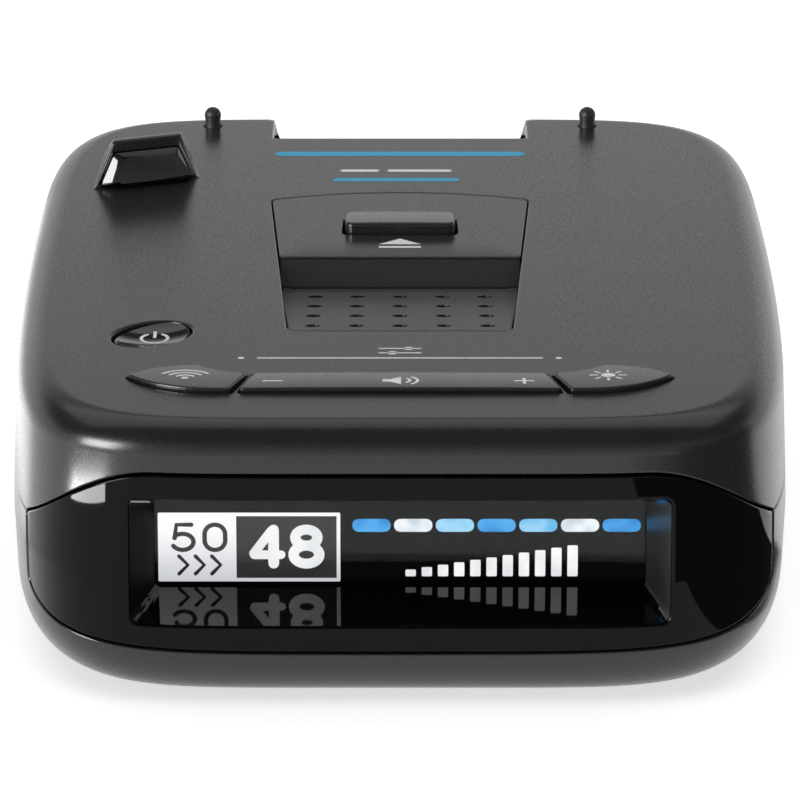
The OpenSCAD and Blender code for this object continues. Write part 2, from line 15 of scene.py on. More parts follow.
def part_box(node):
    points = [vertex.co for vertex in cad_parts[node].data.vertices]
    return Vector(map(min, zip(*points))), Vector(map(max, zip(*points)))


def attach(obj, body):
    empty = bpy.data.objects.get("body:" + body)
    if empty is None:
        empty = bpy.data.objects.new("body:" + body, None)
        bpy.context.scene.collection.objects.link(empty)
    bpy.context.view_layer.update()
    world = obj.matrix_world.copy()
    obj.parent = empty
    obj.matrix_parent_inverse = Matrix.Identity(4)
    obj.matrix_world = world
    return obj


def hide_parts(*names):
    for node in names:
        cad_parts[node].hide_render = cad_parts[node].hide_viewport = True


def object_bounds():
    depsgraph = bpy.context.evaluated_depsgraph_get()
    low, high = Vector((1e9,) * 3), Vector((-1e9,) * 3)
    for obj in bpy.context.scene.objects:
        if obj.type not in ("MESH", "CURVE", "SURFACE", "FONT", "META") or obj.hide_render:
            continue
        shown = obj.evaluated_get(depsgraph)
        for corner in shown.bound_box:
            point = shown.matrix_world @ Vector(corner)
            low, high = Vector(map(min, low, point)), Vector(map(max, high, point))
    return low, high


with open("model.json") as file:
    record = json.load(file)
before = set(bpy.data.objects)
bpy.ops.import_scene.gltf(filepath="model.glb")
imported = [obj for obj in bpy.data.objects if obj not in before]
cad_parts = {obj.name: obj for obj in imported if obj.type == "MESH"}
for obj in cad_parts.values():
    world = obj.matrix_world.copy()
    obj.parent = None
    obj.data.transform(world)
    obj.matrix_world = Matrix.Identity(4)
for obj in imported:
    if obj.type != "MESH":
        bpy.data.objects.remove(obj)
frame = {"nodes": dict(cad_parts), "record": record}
cad_low, cad_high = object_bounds()

MM = 0.001


def box_mm(node):
    """Lowest and highest corner of a CAD node, in millimetres."""
    low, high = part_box(node)
    return np.array(low) / MM, np.array(high) / MM


# ---------- Sizes taken from the frame ----------

HALF_LENGTH = -box_mm("front_bezel")[0][1]
HALF_WIDTH = cad_high.x / MM
COVER_TOP = box_mm("release_panel")[1][2]
POD_TOP = box_mm("top_cover")[1][2]
KEY_TOP = box_mm("left_button")[1][2]
LENS_FRONT = box_mm("display_lens")[0][1]
PANEL_FRONT = box_mm("display_panel")[0][1]

# ---------- Case form, as in the CAD part ----------

CORNER_POWER = 6.5
FRONT_TAPER = 1.7
WIDEST_Y = 14
WIDEST_Z = 12
SIDE_DRAFT = 0.04
BOTTOM_ROUND = 6.3
TOP_ROUND = 2.9
TOP_START = COVER_TOP - TOP_ROUND
TOP_END = TOP_START + TOP_ROUND * math.pi / 2
BOTTOM_END = BOTTOM_ROUND - BOTTOM_ROUND * math.pi / 2
TOP_INSET = TOP_ROUND + SIDE_DRAFT * (COVER_TOP - WIDEST_Z)
BOTTOM_INSET = BOTTOM_ROUND + SIDE_DRAFT * WIDEST_Z
PARTING_Z = 15
SEAM = 0.1  # half of the gap between two case parts
WALL = 1.6

# Bezel outline, seen from the front
BEZEL_SIDE = 34
BEZEL_FLAT = 22
BEZEL_TOP = 22
BEZEL_DROP = 6.8
BEZEL_LOW = 5.4
BEZEL_LOW_RISE = 5.1

# Display recess
RECESS_END = LENS_FRONT - 0.15
WINDOW = (24.4, 7.9, 19.7)  # half width, low and high edge at the front
WINDOW_END = (22.6, 8.5, 17.0)

# Release panel and its pocket
STEP_Y = -1.2
STEP_Z = 23.4
RAMP_END_Y = -26
PANEL_FAR = (13.2, 20.3)
PANEL_NEAR_HALF = 10.6
PANEL_BOW = 2.7
NOTCH_Y = 45
NOTCH_HALF = 13.6
PEG = (20.2, 50.1)
KEY_GAP = 0.25
SCREWS = ((27.5, 44), (-27.5, 44), (27.5, -36), (-27.5, -36))


def half_width(y):
    """Half width of the case at a place along its length."""
    return HALF_WIDTH - FRONT_TAPER * (np.maximum(0, WIDEST_Y - y) / HALF_LENGTH) ** 2


def outline(angle, inset):
    """X and Y of the case's outline at these polar angles, drawn in by an inset."""
    c, s = np.cos(angle), np.sin(angle)
    reach = (np.abs(c) ** CORNER_POWER + np.abs(s) ** CORNER_POWER) ** (-1 / CORNER_POWER)
    y = reach * s * (HALF_LENGTH - inset)
    return reach * c * (half_width(y) - inset), y


def side_ring(along, depth=0.0):
    """Inset and height of the side at a distance along its profile, at a depth under the skin."""
    top_turn = np.clip((along - TOP_START) / TOP_ROUND, 0, math.pi / 2)
    low_turn = np.clip((BOTTOM_ROUND - along) / BOTTOM_ROUND, 0, math.pi / 2)
    z = (np.clip(along, BOTTOM_ROUND, TOP_START) + (TOP_ROUND - depth) * np.sin(top_turn)
         - (BOTTOM_ROUND - depth) * np.sin(low_turn))
    inset = (depth + (TOP_ROUND - depth) * (1 - np.cos(top_turn))
             + (BOTTOM_ROUND - depth) * (1 - np.cos(low_turn)))
    return inset + SIDE_DRAFT * np.abs(z - WIDEST_Z), z


def along_of(z):
    """Distance along the side's profile of a height."""
    z = np.asarray(z, float)
    low = BOTTOM_ROUND - BOTTOM_ROUND * np.arcsin(np.clip((BOTTOM_ROUND - z) / BOTTOM_ROUND, 0, 1))
    high = TOP_START + TOP_ROUND * np.arcsin(np.clip((z - TOP_START) / TOP_ROUND, 0, 1))
    return np.where(z < BOTTOM_ROUND, low, np.where(z > TOP_START, high, z))


def angle_at(x, z, far):
    """Polar angle at which the skin at height z has this x, on the far or the display end."""
    x, z = np.broadcast_arrays(np.asarray(x, float), np.asarray(z, float))
    spread = np.linspace(math.radians(20), math.radians(160), 4000)
    spread = spread if far else -spread
    found = np.empty(x.shape)
    for height in np.unique(z):
        inset = side_ring(along_of(height))[0]
        xs = outline(spread, inset)[0]
        found[z == height] = np.interp(-x[z == height], -xs, spread)
    return found


# ---------- Maps from a flat plan to the skin ----------

def flat_map(z, up=1):
    """Plan X and Y onto a level face. Depth goes down, or up for a face that looks down."""
    def place(plan, depth):
        return np.column_stack([plan, np.full(len(plan), float(z)) - up * depth])
    return place


class CaseMap:
    """Plan of the cover or of the lower case, with its sides unrolled outwards."""

    def __init__(self, top):
        self.top = top
        self.end = TOP_END if top else BOTTOM_END
        self.inset = TOP_INSET if top else BOTTOM_INSET
        self.level = COVER_TOP if top else 0.0

    def plan(self, angle, along):
        """Plan point of a place on the side."""
        out = self.end - along if self.top else along - self.end
        angle, out = np.broadcast_arrays(np.asarray(angle, float), np.asarray(out, float))
        rim_x, rim_y = outline(angle, self.inset)
        half = half_width(rim_y) - self.inset
        length = HALF_LENGTH - self.inset
        return np.column_stack([(rim_x / half * (half + out)).ravel(),
                                (rim_y / length * (length + out)).ravel()])

    def __call__(self, plan, depth):
        x, y = plan[:, 0], plan[:, 1]
        length = HALF_LENGTH - self.inset
        low, high = np.full(len(x), -1.0), np.full(len(x), 40.0)
        for _ in range(40):
            out = (low + high) / 2
            half = half_width(y * length / (length + out)) - self.inset
            outside = (np.abs(x / (half + out)) ** CORNER_POWER
                       + np.abs(y / (length + out)) ** CORNER_POWER) > 1
            low, high = np.where(outside, out, low), np.where(outside, high, out)
        half = half_width(y * length / (length + low)) - self.inset
        angle = np.arctan2(y / (length + low), x / (half + low))
        along = self.end - low if self.top else self.end + low
        inset, z = side_ring(along, depth)
        skin_x, skin_y = outline(angle, inset)
        flat = low <= 0
        level = self.level + (-depth if self.top else depth)
        return np.column_stack([np.where(flat, x, skin_x), np.where(flat, y, skin_y),
                                np.where(flat, level, z)])


class BandMap:
    """Unrolled band round the display end: distance round the outline and along the profile."""

    angles = np.linspace(math.radians(-178), math.radians(-2), 8000)

    def __init__(self):
        x, y = outline(self.angles, 0.0)
        steps = np.hypot(np.diff(x), np.diff(y))
        lengths = np.concatenate([[0], np.cumsum(steps)])
        self.lengths = lengths - np.interp(math.radians(-90), self.angles, lengths)

    def plan(self, angle, along):
        """Plan point of a place on the side."""
        angle, along = np.broadcast_arrays(np.asarray(angle, float), np.asarray(along, float))
        return np.column_stack([np.interp(angle, self.angles, self.lengths), along])

    def __call__(self, plan, depth):
        inset, z = side_ring(plan[:, 1], depth)
        x, y = outline(np.interp(plan[:, 0], self.lengths, self.angles), inset)
        return np.column_stack([x, y, z])


# ---------- Plan outlines ----------

NEAR_REPEAT = 0.02
SHARP_TURN = 25  # degrees. A softer corner stays as it is


def distinct(loop):
    """A closed loop without points that nearly repeat the one before."""
    loop = np.asarray(loop, float)
    kept = [loop[0]]
    for point in loop[1:]:
        if np.linalg.norm(point - kept[-1]) > NEAR_REPEAT:
            kept.append(point)
    while np.linalg.norm(kept[-1] - kept[0]) <= NEAR_REPEAT:
        kept.pop()
    return np.array(kept)


def offset_loop(loop, distance):
    """Moves a closed loop's points to its left by a distance, with mitred corners."""
    before, after = np.roll(loop, 1, 0), np.roll(loop, -1, 0)
    first, second = loop - before, after - loop
    first /= np.linalg.norm(first, axis=1)[:, None]
    second /= np.linalg.norm(second, axis=1)[:, None]
    left_a = np.column_stack([-first[:, 1], first[:, 0]])
    left_b = np.column_stack([-second[:, 1], second[:, 0]])
    mitre = left_a + left_b
    scale = np.maximum(0.35, (mitre ** 2).sum(1) / 2)
    return loop + mitre / scale[:, None] * distance


def ccw(loop):
    """The loop, running anticlockwise."""
    x, y = loop[:, 0], loop[:, 1]
    area = (x * np.roll(y, -1) - np.roll(x, -1) * y).sum()
    return loop if area > 0 else loop[::-1].copy()


def resample(points, step, closed=True):
    """Points along a polyline at about even steps, with its own corners kept."""
    points = np.asarray(points, float)
    ends = np.roll(points, -1, 0) if closed else points[1:]
    starts = points if closed else points[:-1]
    made = []
    for a, b in zip(starts, ends):
        count = max(1, int(round(np.linalg.norm(b - a) / step)))
        made += [a + (b - a) * i / count for i in range(count)]
    if not closed:
        made.append(points[-1])
    return np.array(made)


def bow(start, end, rise, steps=14):
    """Points along a bowed line from start up to, and without, end."""
    start, end = np.array(start, float), np.array(end, float)
    side = np.array([-(end - start)[1], (end - start)[0]]) / np.linalg.norm(end - start)
    return [start + (end - start) * t + side * rise * 4 * t * (1 - t)
            for t in np.arange(steps) / steps]


def round_corners(points, radius, steps=6):
    """A closed polygon with arcs in place of its sharper corners."""
    points = distinct(points)
    made = []
    for i, here in enumerate(points):
        before, after = points[i - 1], points[(i + 1) % len(points)]
        to_before, to_after = before - here, after - here
        room = min(np.linalg.norm(to_before), np.linalg.norm(to_after))
        a, b = to_before / np.linalg.norm(to_before), to_after / np.linalg.norm(to_after)
        half = math.acos(np.clip(a @ b, -1, 1)) / 2
        if math.degrees(math.pi - 2 * half) < SHARP_TURN:
            made.append(here)
            continue
        back = min(radius / math.tan(half), 0.49 * room)
        bulge = back * math.tan(half)
        centre = here + (a + b) / np.linalg.norm(a + b) * math.hypot(back, bulge)
        start, end = here + a * back - centre, here + b * back - centre
        turn = math.atan2(start[0] * end[1] - start[1] * end[0], start @ end)
        for k in range(steps + 1):
            c, s = math.cos(turn * k / steps), math.sin(turn * k / steps)
            made.append(centre + np.array([start[0] * c - start[1] * s,
                                           start[0] * s + start[1] * c]))
    return np.array(made)


def blend(before, here, after, radius, count):
    """Points along a soft bend in place of a corner."""
    lengths = np.linalg.norm(before - here), np.linalg.norm(after - here)
    a, b = (before - here) / lengths[0], (after - here) / lengths[1]
    half = math.acos(np.clip(a @ b, -1, 1)) / 2
    back = min(radius / math.tan(half), 0.45 * min(lengths))
    start, end = here + a * back, here + b * back
    return [start * (1 - t) ** 2 + here * 2 * t * (1 - t) + end * t ** 2
            for t in np.linspace(0, 1, count)]


def circle(centre, radius, count=28):
    """Round loop."""
    turn = np.arange(count) * 2 * math.pi / count
    return np.column_stack([centre[0] + radius * np.cos(turn), centre[1] + radius * np.sin(turn)])


def rectangle(low, high, radius=0.0, steps=5):
    """Rectangle with round corners."""
    corners = [(low[0], low[1]), (high[0], low[1]), (high[0], high[1]), (low[0], high[1])]
    return round_corners(corners, radius, steps) if radius else np.array(corners, float)


def mirrored(loop):
    """The loop, mirrored in X."""
    return ccw(loop * [-1, 1])


def inside(points, loops):
    """Whether each point is inside the loops, by the even-odd rule."""
    odd = np.zeros(len(points), bool)
    x, y = points[:, 0], points[:, 1]
    for loop in loops:
        for (ax, ay), (bx, by) in zip(loop, np.roll(loop, -1, 0)):
            if ay != by:
                crosses = (ay > y) != (by > y)
                odd ^= crosses & (x < (bx - ax) * (y - ay) / (by - ay) + ax)
    return odd


def triangulate(loops, extra=None):
    """Triangles between closed loops. Rows are indices into the loops' points, then extra's."""
    points = np.concatenate(loops + ([extra] if extra is not None and len(extra) else []))
    edges, start = [], 0
    for loop in loops:
        count = len(loop)
        edges += [(start + i, start + (i + 1) % count) for i in range(count)]
        start += count
    made = delaunay_2d_cdt([tuple(p) for p in points], edges, [], 1, 1e-7)
    vertices, triangles, sources = made[0], np.array(made[2]), made[3]
    where = np.array([s[0] if s else -1 for s in sources])
    middles = np.array([tuple(v) for v in vertices])[triangles].mean(1)
    kept = where[triangles[inside(middles, loops)]]
    return kept[(kept >= 0).all(1)]


# ---------- Mesh making ----------

class Build:
    """Collects vertices and faces with a shading normal at each corner."""

    def __init__(self):
        self.points, self.faces, self.normals, self.count = [], [], [], 0

    def add(self, points):
        """Adds vertices and returns their indices."""
        start = self.count
        self.points.append(np.asarray(points, float))
        self.count += len(points)
        return np.arange(start, self.count)

    def face(self, indices, normals=None):
        """Adds a face. With no normals it is flat shaded."""
        self.faces.append(tuple(int(i) for i in indices))
        self.normals.append(normals)

    def strip(self, low, high, low_normals=None, high_normals=None, closed=True):
        """Quads between two rows of vertices."""
        count = len(low)
        for i in range(count if closed else count - 1):
            j = (i + 1) % count
            shades = None
            if low_normals is not None:
                shades = [low_normals[i], low_normals[j], high_normals[j], high_normals[i]]
            self.face((low[i], low[j], high[j], high[i]), shades)

    def finish(self, name, flip=False, smooth_angle=None):
        """Makes the object, in metres."""
        points = np.concatenate(self.points) * MM
        faces = [f[::-1] if flip else f for f in self.faces]
        mesh = bpy.data.meshes.new(name)
        mesh.from_pydata(points.tolist(), [], faces)
        mesh.validate()
        mesh.update()
        shade = len(mesh.polygons) == len(faces) and any(n is not None for n in self.normals)
        mesh.shade_smooth()
        if smooth_angle is not None:
            mesh.set_sharp_from_angle(angle=math.radians(smooth_angle))
        elif shade:
            corners = []
            for polygon, normals in zip(mesh.polygons, self.normals):
                if normals is None:
                    corners += [tuple(polygon.normal)] * len(polygon.vertices)
                else:
                    corners += [tuple(n) for n in (normals[::-1] if flip else normals)]
            mesh.normals_split_custom_set(corners)
        made = bpy.data.objects.new(name, mesh)
        bpy.context.scene.collection.objects.link(made)
        return made


def surface_normals(surface, plan, depth, flip):
    """Outward normals of a mapped face, by small steps in the plan."""
    step = 0.02
    depth = np.full(len(plan), depth)
    across = surface(plan + [step, 0], depth) - surface(plan - [step, 0], depth)
    up = surface(plan + [0, step], depth) - surface(plan - [0, step], depth)
    normals = np.cross(across, up) * (-1 if flip else 1)
    return normals / np.maximum(1e-12, np.linalg.norm(normals, axis=1))[:, None]


class Rim:
    """A closed edge of a moulded wall: its loop, edge radius, and what its side wall does."""

    def __init__(self, loop, radius=0.2, skirt=0.0, tunnel=None, steps=4, pocket=0.0):
        self.loop, self.radius, self.skirt = distinct(loop), radius, skirt
        self.tunnel, self.steps, self.pocket = tunnel, steps, pocket


SKIRT_WALL = 1.0
CLEAR_OF_EDGE = 0.3  # least gap between an edge and the spare points of a face
BATCH = 2000


def add_wall(build, surface, rims, thickness, extra=None, flip=False):
    """Adds a closed moulded wall: outer face, round edges, side walls and inner face.

    The first rim is the outer one and the others are openings. flip is for a face whose plan
    is seen from behind."""
    outer_loops, inner_loops, outer_ids, inner_ids = [], [], [], []
    for number, rim in enumerate(rims):
        loop = ccw(rim.loop) if number == 0 else ccw(rim.loop)[::-1]
        rows, shades = [], []
        count = len(loop)
        wall_out = (surface(offset_loop(loop, -0.05), np.full(count, rim.radius))
                    - surface(loop, np.full(count, rim.radius)))
        wall_out /= np.maximum(1e-12, np.linalg.norm(wall_out, axis=1))[:, None]
        skin_out = surface_normals(surface, loop, 0.0, flip)
        for k in range(rim.steps + 1):
            turn = k / rim.steps * math.pi / 2
            inset = rim.radius * (1 - math.cos(turn))
            depth = rim.radius * (1 - math.sin(turn))
            placed = surface(offset_loop(loop, inset), np.full(count, depth))
            rows.append(build.add(placed))
            shade = wall_out * math.cos(turn) + skin_out * math.sin(turn)
            shades.append(shade / np.linalg.norm(shade, axis=1)[:, None])
        for k in range(rim.steps):
            build.strip(rows[k], rows[k + 1], shades[k], shades[k + 1])
        outer_loops.append(offset_loop(loop, rim.radius))
        outer_ids.append(rows[-1])
        if rim.pocket:
            floor = build.add(surface(loop, np.full(count, rim.pocket)))
            build.strip(floor, rows[0])
            for corner in triangulate([loop[::-1]]):
                build.face(floor[::-1][corner])
            continue
        # Side wall, from the inner face up to the round edge
        inner = loop
        below = []
        if rim.tunnel is not None:
            below = [build.add(ring) for ring in rim.tunnel(loop)]
            inner = offset_loop(loop, SKIRT_WALL)
        elif rim.skirt:
            inner = offset_loop(loop, SKIRT_WALL)
            below = [build.add(surface(loop, np.full(count, rim.skirt))),
                     build.add(surface(inner, np.full(count, rim.skirt)))]
        last = build.add(surface(inner, np.full(count, thickness)))
        chain = [rows[0]] + below + [last]
        for high, low in zip(chain, chain[1:]):
            build.strip(low, high)
        inner_loops.append(inner)
        inner_ids.append(last)
    spare = np.zeros((0, 2)) if extra is None else extra
    if len(spare):
        spare = spare[inside(spare, outer_loops)]
        near = np.concatenate([resample(l, 0.5) for l in outer_loops])
        clear = np.ones(len(spare), bool)
        for start in range(0, len(spare), BATCH):
            part = spare[start:start + BATCH]
            gap = np.sqrt(((part[:, None] - near[None]) ** 2).sum(2)).min(1)
            clear[start:start + BATCH] = gap > CLEAR_OF_EDGE
        spare = spare[clear]
    for loops, ids, depth in ((outer_loops, outer_ids, 0.0), (inner_loops, inner_ids, thickness)):
        inner_side = depth > 0
        points = spare if not inner_side else spare[inside(spare, inner_loops)]
        spare_ids = build.add(surface(points, np.full(len(points), depth))) if len(points) else []
        order = np.concatenate([*ids, spare_ids]).astype(int)
        plans = np.concatenate([*loops, points])
        shades = surface_normals(surface, plans, depth, flip) * (-1 if inner_side else 1)
        for a, b, c in triangulate(loops, points):
            corner = (c, b, a) if inner_side else (a, b, c)
            build.face(order[list(corner)], [shades[i] for i in corner])


def wall_piece(name, surface, rims, thickness, extra=None, flip=False):
    """One moulded wall as an object of its own."""
    build = Build()
    add_wall(build, surface, rims, thickness, extra, flip)
    return build.finish(name, flip)


# ---------- Materials ----------

class Paint:
    """A node material with one Principled shader and helpers for its patterns."""

    def __init__(self, name, roughness=0.5, metallic=0.0, specular=0.5):
        self.material = bpy.data.materials.new(name)
        self.material.use_nodes = True
        self.tree = self.material.node_tree
        self.shader = self.tree.nodes["Principled BSDF"]
        self.shader.inputs["Roughness"].default_value = roughness
        self.shader.inputs["Metallic"].default_value = metallic
        self.shader.inputs["Specular IOR Level"].default_value = specular
        self.coordinates = self.tree.nodes.new("ShaderNodeTexCoord")

    def noise(self, size_mm, detail=3.0, stretch=(1, 1, 1), distortion=0.0):
        """Noise whose blobs are about this many millimetres across."""
        mapping = self.tree.nodes.new("ShaderNodeMapping")
        mapping.inputs["Scale"].default_value = stretch
        self.tree.links.new(self.coordinates.outputs["Object"], mapping.inputs["Vector"])
        made = self.tree.nodes.new("ShaderNodeTexNoise")
        made.inputs["Scale"].default_value = 1 / (size_mm * MM)
        made.inputs["Detail"].default_value = detail
        made.inputs["Distortion"].default_value = distortion
        self.tree.links.new(mapping.outputs["Vector"], made.inputs["Vector"])
        return made.outputs["Fac"]

    def spread(self, value, low, high, from_low=0.3, from_high=0.7):
        """Maps a pattern to a range of values."""
        made = self.tree.nodes.new("ShaderNodeMapRange")
        made.inputs["From Min"].default_value = from_low
        made.inputs["From Max"].default_value = from_high
        made.inputs["To Min"].default_value = low
        made.inputs["To Max"].default_value = high
        self.tree.links.new(value, made.inputs["Value"])
        return made.outputs["Result"]

    def ramp(self, value, stops):
        """Colours along a pattern. Each stop is a place and a colour."""
        made = self.tree.nodes.new("ShaderNodeValToRGB")
        elements = made.color_ramp.elements
        while len(elements) < len(stops):
            elements.new(0.5)
        for element, (place, colour) in zip(elements, stops):
            element.position = place
            element.color = (*colour, 1)
        self.tree.links.new(value, made.inputs["Fac"])
        return made.outputs["Color"]

    def link(self, value, socket):
        """Feeds a pattern into a socket of the shader."""
        self.tree.links.new(value, self.shader.inputs[socket])

    def bump(self, value, height_mm, strength=1.0):
        """Raises the surface by a pattern."""
        made = self.tree.nodes.new("ShaderNodeBump")
        made.inputs["Strength"].default_value = strength
        made.inputs["Distance"].default_value = height_mm * MM
        self.tree.links.new(value, made.inputs["Height"])
        self.link(made.outputs["Normal"], "Normal")


def shades(colour, amount):
    """A darker and a lighter version of a colour."""
    return tuple(c * (1 - amount) for c in colour), tuple(min(1, c * (1 + amount)) for c in colour)


def moulded(name, colour, roughness, grain_mm=0.16, grain_height=0.003, specular=0.5):
    """Moulded plastic: faint cloudy colour, fine spark-eroded grain."""
    paint = Paint(name, specular=specular)
    dark, light = shades(colour, 0.06)
    paint.link(paint.ramp(paint.noise(9, 4), [(0.3, dark), (0.7, light)]), "Base Color")
    grain = paint.noise(grain_mm, 2)
    paint.link(paint.spread(grain, roughness - 0.05, roughness + 0.05), "Roughness")
    paint.bump(grain, grain_height)
    return paint.material


def polished(name, colour, roughness=0.05, specular=0.5):
    """Polished plastic: faint smudges and a trace of moulding ripple."""
    paint = Paint(name, specular=specular)
    dark, light = shades(colour, 0.1)
    paint.link(paint.ramp(paint.noise(6, 3), [(0.35, dark), (0.65, light)]), "Base Color")
    paint.link(paint.spread(paint.noise(2.5, 4), roughness, roughness + 0.03), "Roughness")
    paint.bump(paint.noise(7, 1), 0.002, 0.4)
    return paint.material


def metal(name, colour, roughness, stretch=(1, 1, 1), grain_mm=0.3):
    """Metal with a fine directional or even grain."""
    paint = Paint(name, metallic=1.0)
    dark, light = shades(colour, 0.12)
    grain = paint.noise(grain_mm, 4, stretch)
    paint.link(paint.ramp(grain, [(0.3, dark), (0.7, light)]), "Base Color")
    paint.link(paint.spread(grain, roughness - 0.07, roughness + 0.07), "Roughness")
    paint.bump(grain, 0.004)
    return paint.material


def board_material(name):
    """Green solder mask over copper tracks."""
    paint = Paint(name, roughness=0.32)
    cells = paint.tree.nodes.new("ShaderNodeTexVoronoi")
    cells.distance = "MANHATTAN"
    cells.feature = "DISTANCE_TO_EDGE"
    cells.inputs["Scale"].default_value = 1 / (2.4 * MM)
    paint.tree.links.new(paint.coordinates.outputs["Object"], cells.inputs["Vector"])
    tracks = [(0.0, (0.035, 0.2, 0.09)), (0.06, (0.03, 0.17, 0.07)), (0.09, (0.012, 0.08, 0.035))]
    paint.link(paint.ramp(cells.outputs["Distance"], tracks), "Base Color")
    paint.bump(cells.outputs["Distance"], 0.02, 0.3)
    return paint.material


def film(name, colour, roughness, fibre_mm=0.5):
    """Paper, film or foam with a fibrous face."""
    paint = Paint(name)
    dark, light = shades(colour, 0.08)
    fibre = paint.noise(fibre_mm, 6, (1, 0.35, 1), 0.5)
    paint.link(paint.ramp(fibre, [(0.3, dark), (0.7, light)]), "Base Color")
    paint.link(paint.spread(fibre, roughness - 0.06, roughness + 0.06), "Roughness")
    paint.bump(fibre, 0.01, 0.5)
    return paint.material


def clear_pane(name):
    """Thin clear acrylic: a mirror by Fresnel over what is behind it, with faint dust."""
    material = bpy.data.materials.new(name)
    material.use_nodes = True
    tree = material.node_tree
    tree.nodes.remove(tree.nodes["Principled BSDF"])
    nodes, links = tree.nodes, tree.links
    behind = nodes.new("ShaderNodeBsdfTransparent")
    behind.inputs["Color"].default_value = (0.97, 0.975, 0.98, 1)
    mirror = nodes.new("ShaderNodeBsdfGlossy")
    coordinates = nodes.new("ShaderNodeTexCoord")
    dust = nodes.new("ShaderNodeTexNoise")
    dust.inputs["Scale"].default_value = 1 / (1.2 * MM)
    spread = nodes.new("ShaderNodeMapRange")
    spread.inputs["To Min"].default_value = 0.02
    spread.inputs["To Max"].default_value = 0.09
    fresnel = nodes.new("ShaderNodeFresnel")
    fresnel.inputs["IOR"].default_value = 1.25
    mix = nodes.new("ShaderNodeMixShader")
    links.new(coordinates.outputs["Object"], dust.inputs["Vector"])
    links.new(dust.outputs["Fac"], spread.inputs["Value"])
    links.new(spread.outputs["Result"], mirror.inputs["Roughness"])
    links.new(fresnel.outputs["Fac"], mix.inputs["Fac"])
    links.new(behind.outputs["BSDF"], mix.inputs[1])
    links.new(mirror.outputs["BSDF"], mix.inputs[2])
    links.new(mix.outputs["Shader"], nodes["Material Output"].inputs["Surface"])
    return material


def lit(name, low_colour, high_colour, strength, size_mm=3.0, direction=None):
    """Lit display segment: a soft gradient between two colours."""
    paint = Paint(name, roughness=0.4)
    paint.shader.inputs["Base Color"].default_value = (0.01, 0.01, 0.01, 1)
    if direction is None:
        value = paint.noise(size_mm, 1)
        stops = [(0.35, low_colour), (0.65, high_colour)]
    else:
        low, high = direction
        split = paint.tree.nodes.new("ShaderNodeSeparateXYZ")
        paint.tree.links.new(paint.coordinates.outputs["Object"], split.inputs["Vector"])
        value = paint.spread(split.outputs["Z"], 0, 1, low * MM, high * MM)
        stops = [(0.0, low_colour), (1.0, high_colour)]
    paint.link(paint.ramp(value, stops), "Emission Color")
    paint.shader.inputs["Emission Strength"].default_value = strength
    return paint.material


CASE_GREY = (0.016, 0.016, 0.0162)
MATERIALS = {
    "case_plastic": moulded("case_plastic", CASE_GREY, 0.26, grain_height=0.0006),
    "lower_case_plastic": moulded("lower_case_plastic", (0.018, 0.0185, 0.0195), 0.24,
                                  grain_height=0.0006),
    "gloss_black": polished("gloss_black", (0.003, 0.003, 0.003), 0.03, 0.12),
    "key_plastic": moulded("key_plastic", (0.024, 0.024, 0.0245), 0.25, grain_height=0.0006),
    "black_plastic": moulded("black_plastic", (0.016, 0.016, 0.017), 0.45),
    "radome_plastic": moulded("radome_plastic", (0.03, 0.03, 0.031), 0.4),
    "laser_filter": polished("laser_filter", (0.022, 0.005, 0.008), 0.04),
    "clear_window": clear_pane("clear_window"),
    "display_glass": polished("display_glass", (0.001, 0.001, 0.001), 0.08, 0.1),
    "rubber_black": moulded("rubber_black", (0.02, 0.02, 0.02), 0.5, 0.25, 0.006),
    "circuit_board": board_material("circuit_board"),
    "cast_zinc": metal("cast_zinc", (0.6, 0.6, 0.58), 0.42),
    "tinned_steel": metal("tinned_steel", (0.66, 0.66, 0.65), 0.3, (1, 6, 1)),
    "spring_steel": metal("spring_steel", (0.5, 0.5, 0.51), 0.28, (6, 1, 1), 0.2),
    "gold_contact": metal("gold_contact", (0.85, 0.62, 0.24), 0.22),
    "speaker_paper": film("speaker_paper", (0.03, 0.03, 0.03), 0.85),
    "ferrite": moulded("ferrite", (0.05, 0.05, 0.055), 0.6, 0.4, 0.01),
    "foam": film("foam", (0.02, 0.02, 0.02), 0.9, 0.3),
    "polyimide": polished("polyimide", (0.5, 0.24, 0.04), 0.25),
    "label_film": film("label_film", (0.5, 0.5, 0.5), 0.5),
    "acetal": moulded("acetal", (0.55, 0.55, 0.53), 0.4),
    "key_gloss": polished("key_gloss", (0.012, 0.012, 0.012), 0.1, 0.5),
}


def ink(name, colour):
    """Printed ink, with a faintly uneven coat."""
    paint = Paint(name)
    dark, light = shades(colour, 0.08)
    coat = paint.noise(0.25, 3)
    paint.link(paint.ramp(coat, [(0.35, dark), (0.65, light)]), "Base Color")
    paint.link(paint.spread(coat, 0.4, 0.53), "Roughness")
    paint.bump(coat, 0.004, 0.5)
    return paint.material


GREY_INK = ink("grey_ink", (0.78, 0.79, 0.8))
BLUE_INK = ink("blue_ink", (0.012, 0.36, 0.6))


def dress(piece, slot, body="housing", replaces=(), material=None):
    """Gives a piece its material, the slot's unless one is given, and its body, and hides the CAD
    nodes it stands for.
    """
    piece.data.materials.clear()
    piece.data.materials.append(material or MATERIALS[slot])
    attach(piece, body)
    if replaces:
        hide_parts(*replaces)
    return piece


SLOT_OF = {row["node"]: row["material_slot"] for row in frame["record"]["subparts"]}
for node, thing in frame["nodes"].items():
    thing.data.materials.clear()
    thing.data.materials.append(MATERIALS[SLOT_OF[node]])


# ---------- Key, panel and pod outlines ----------

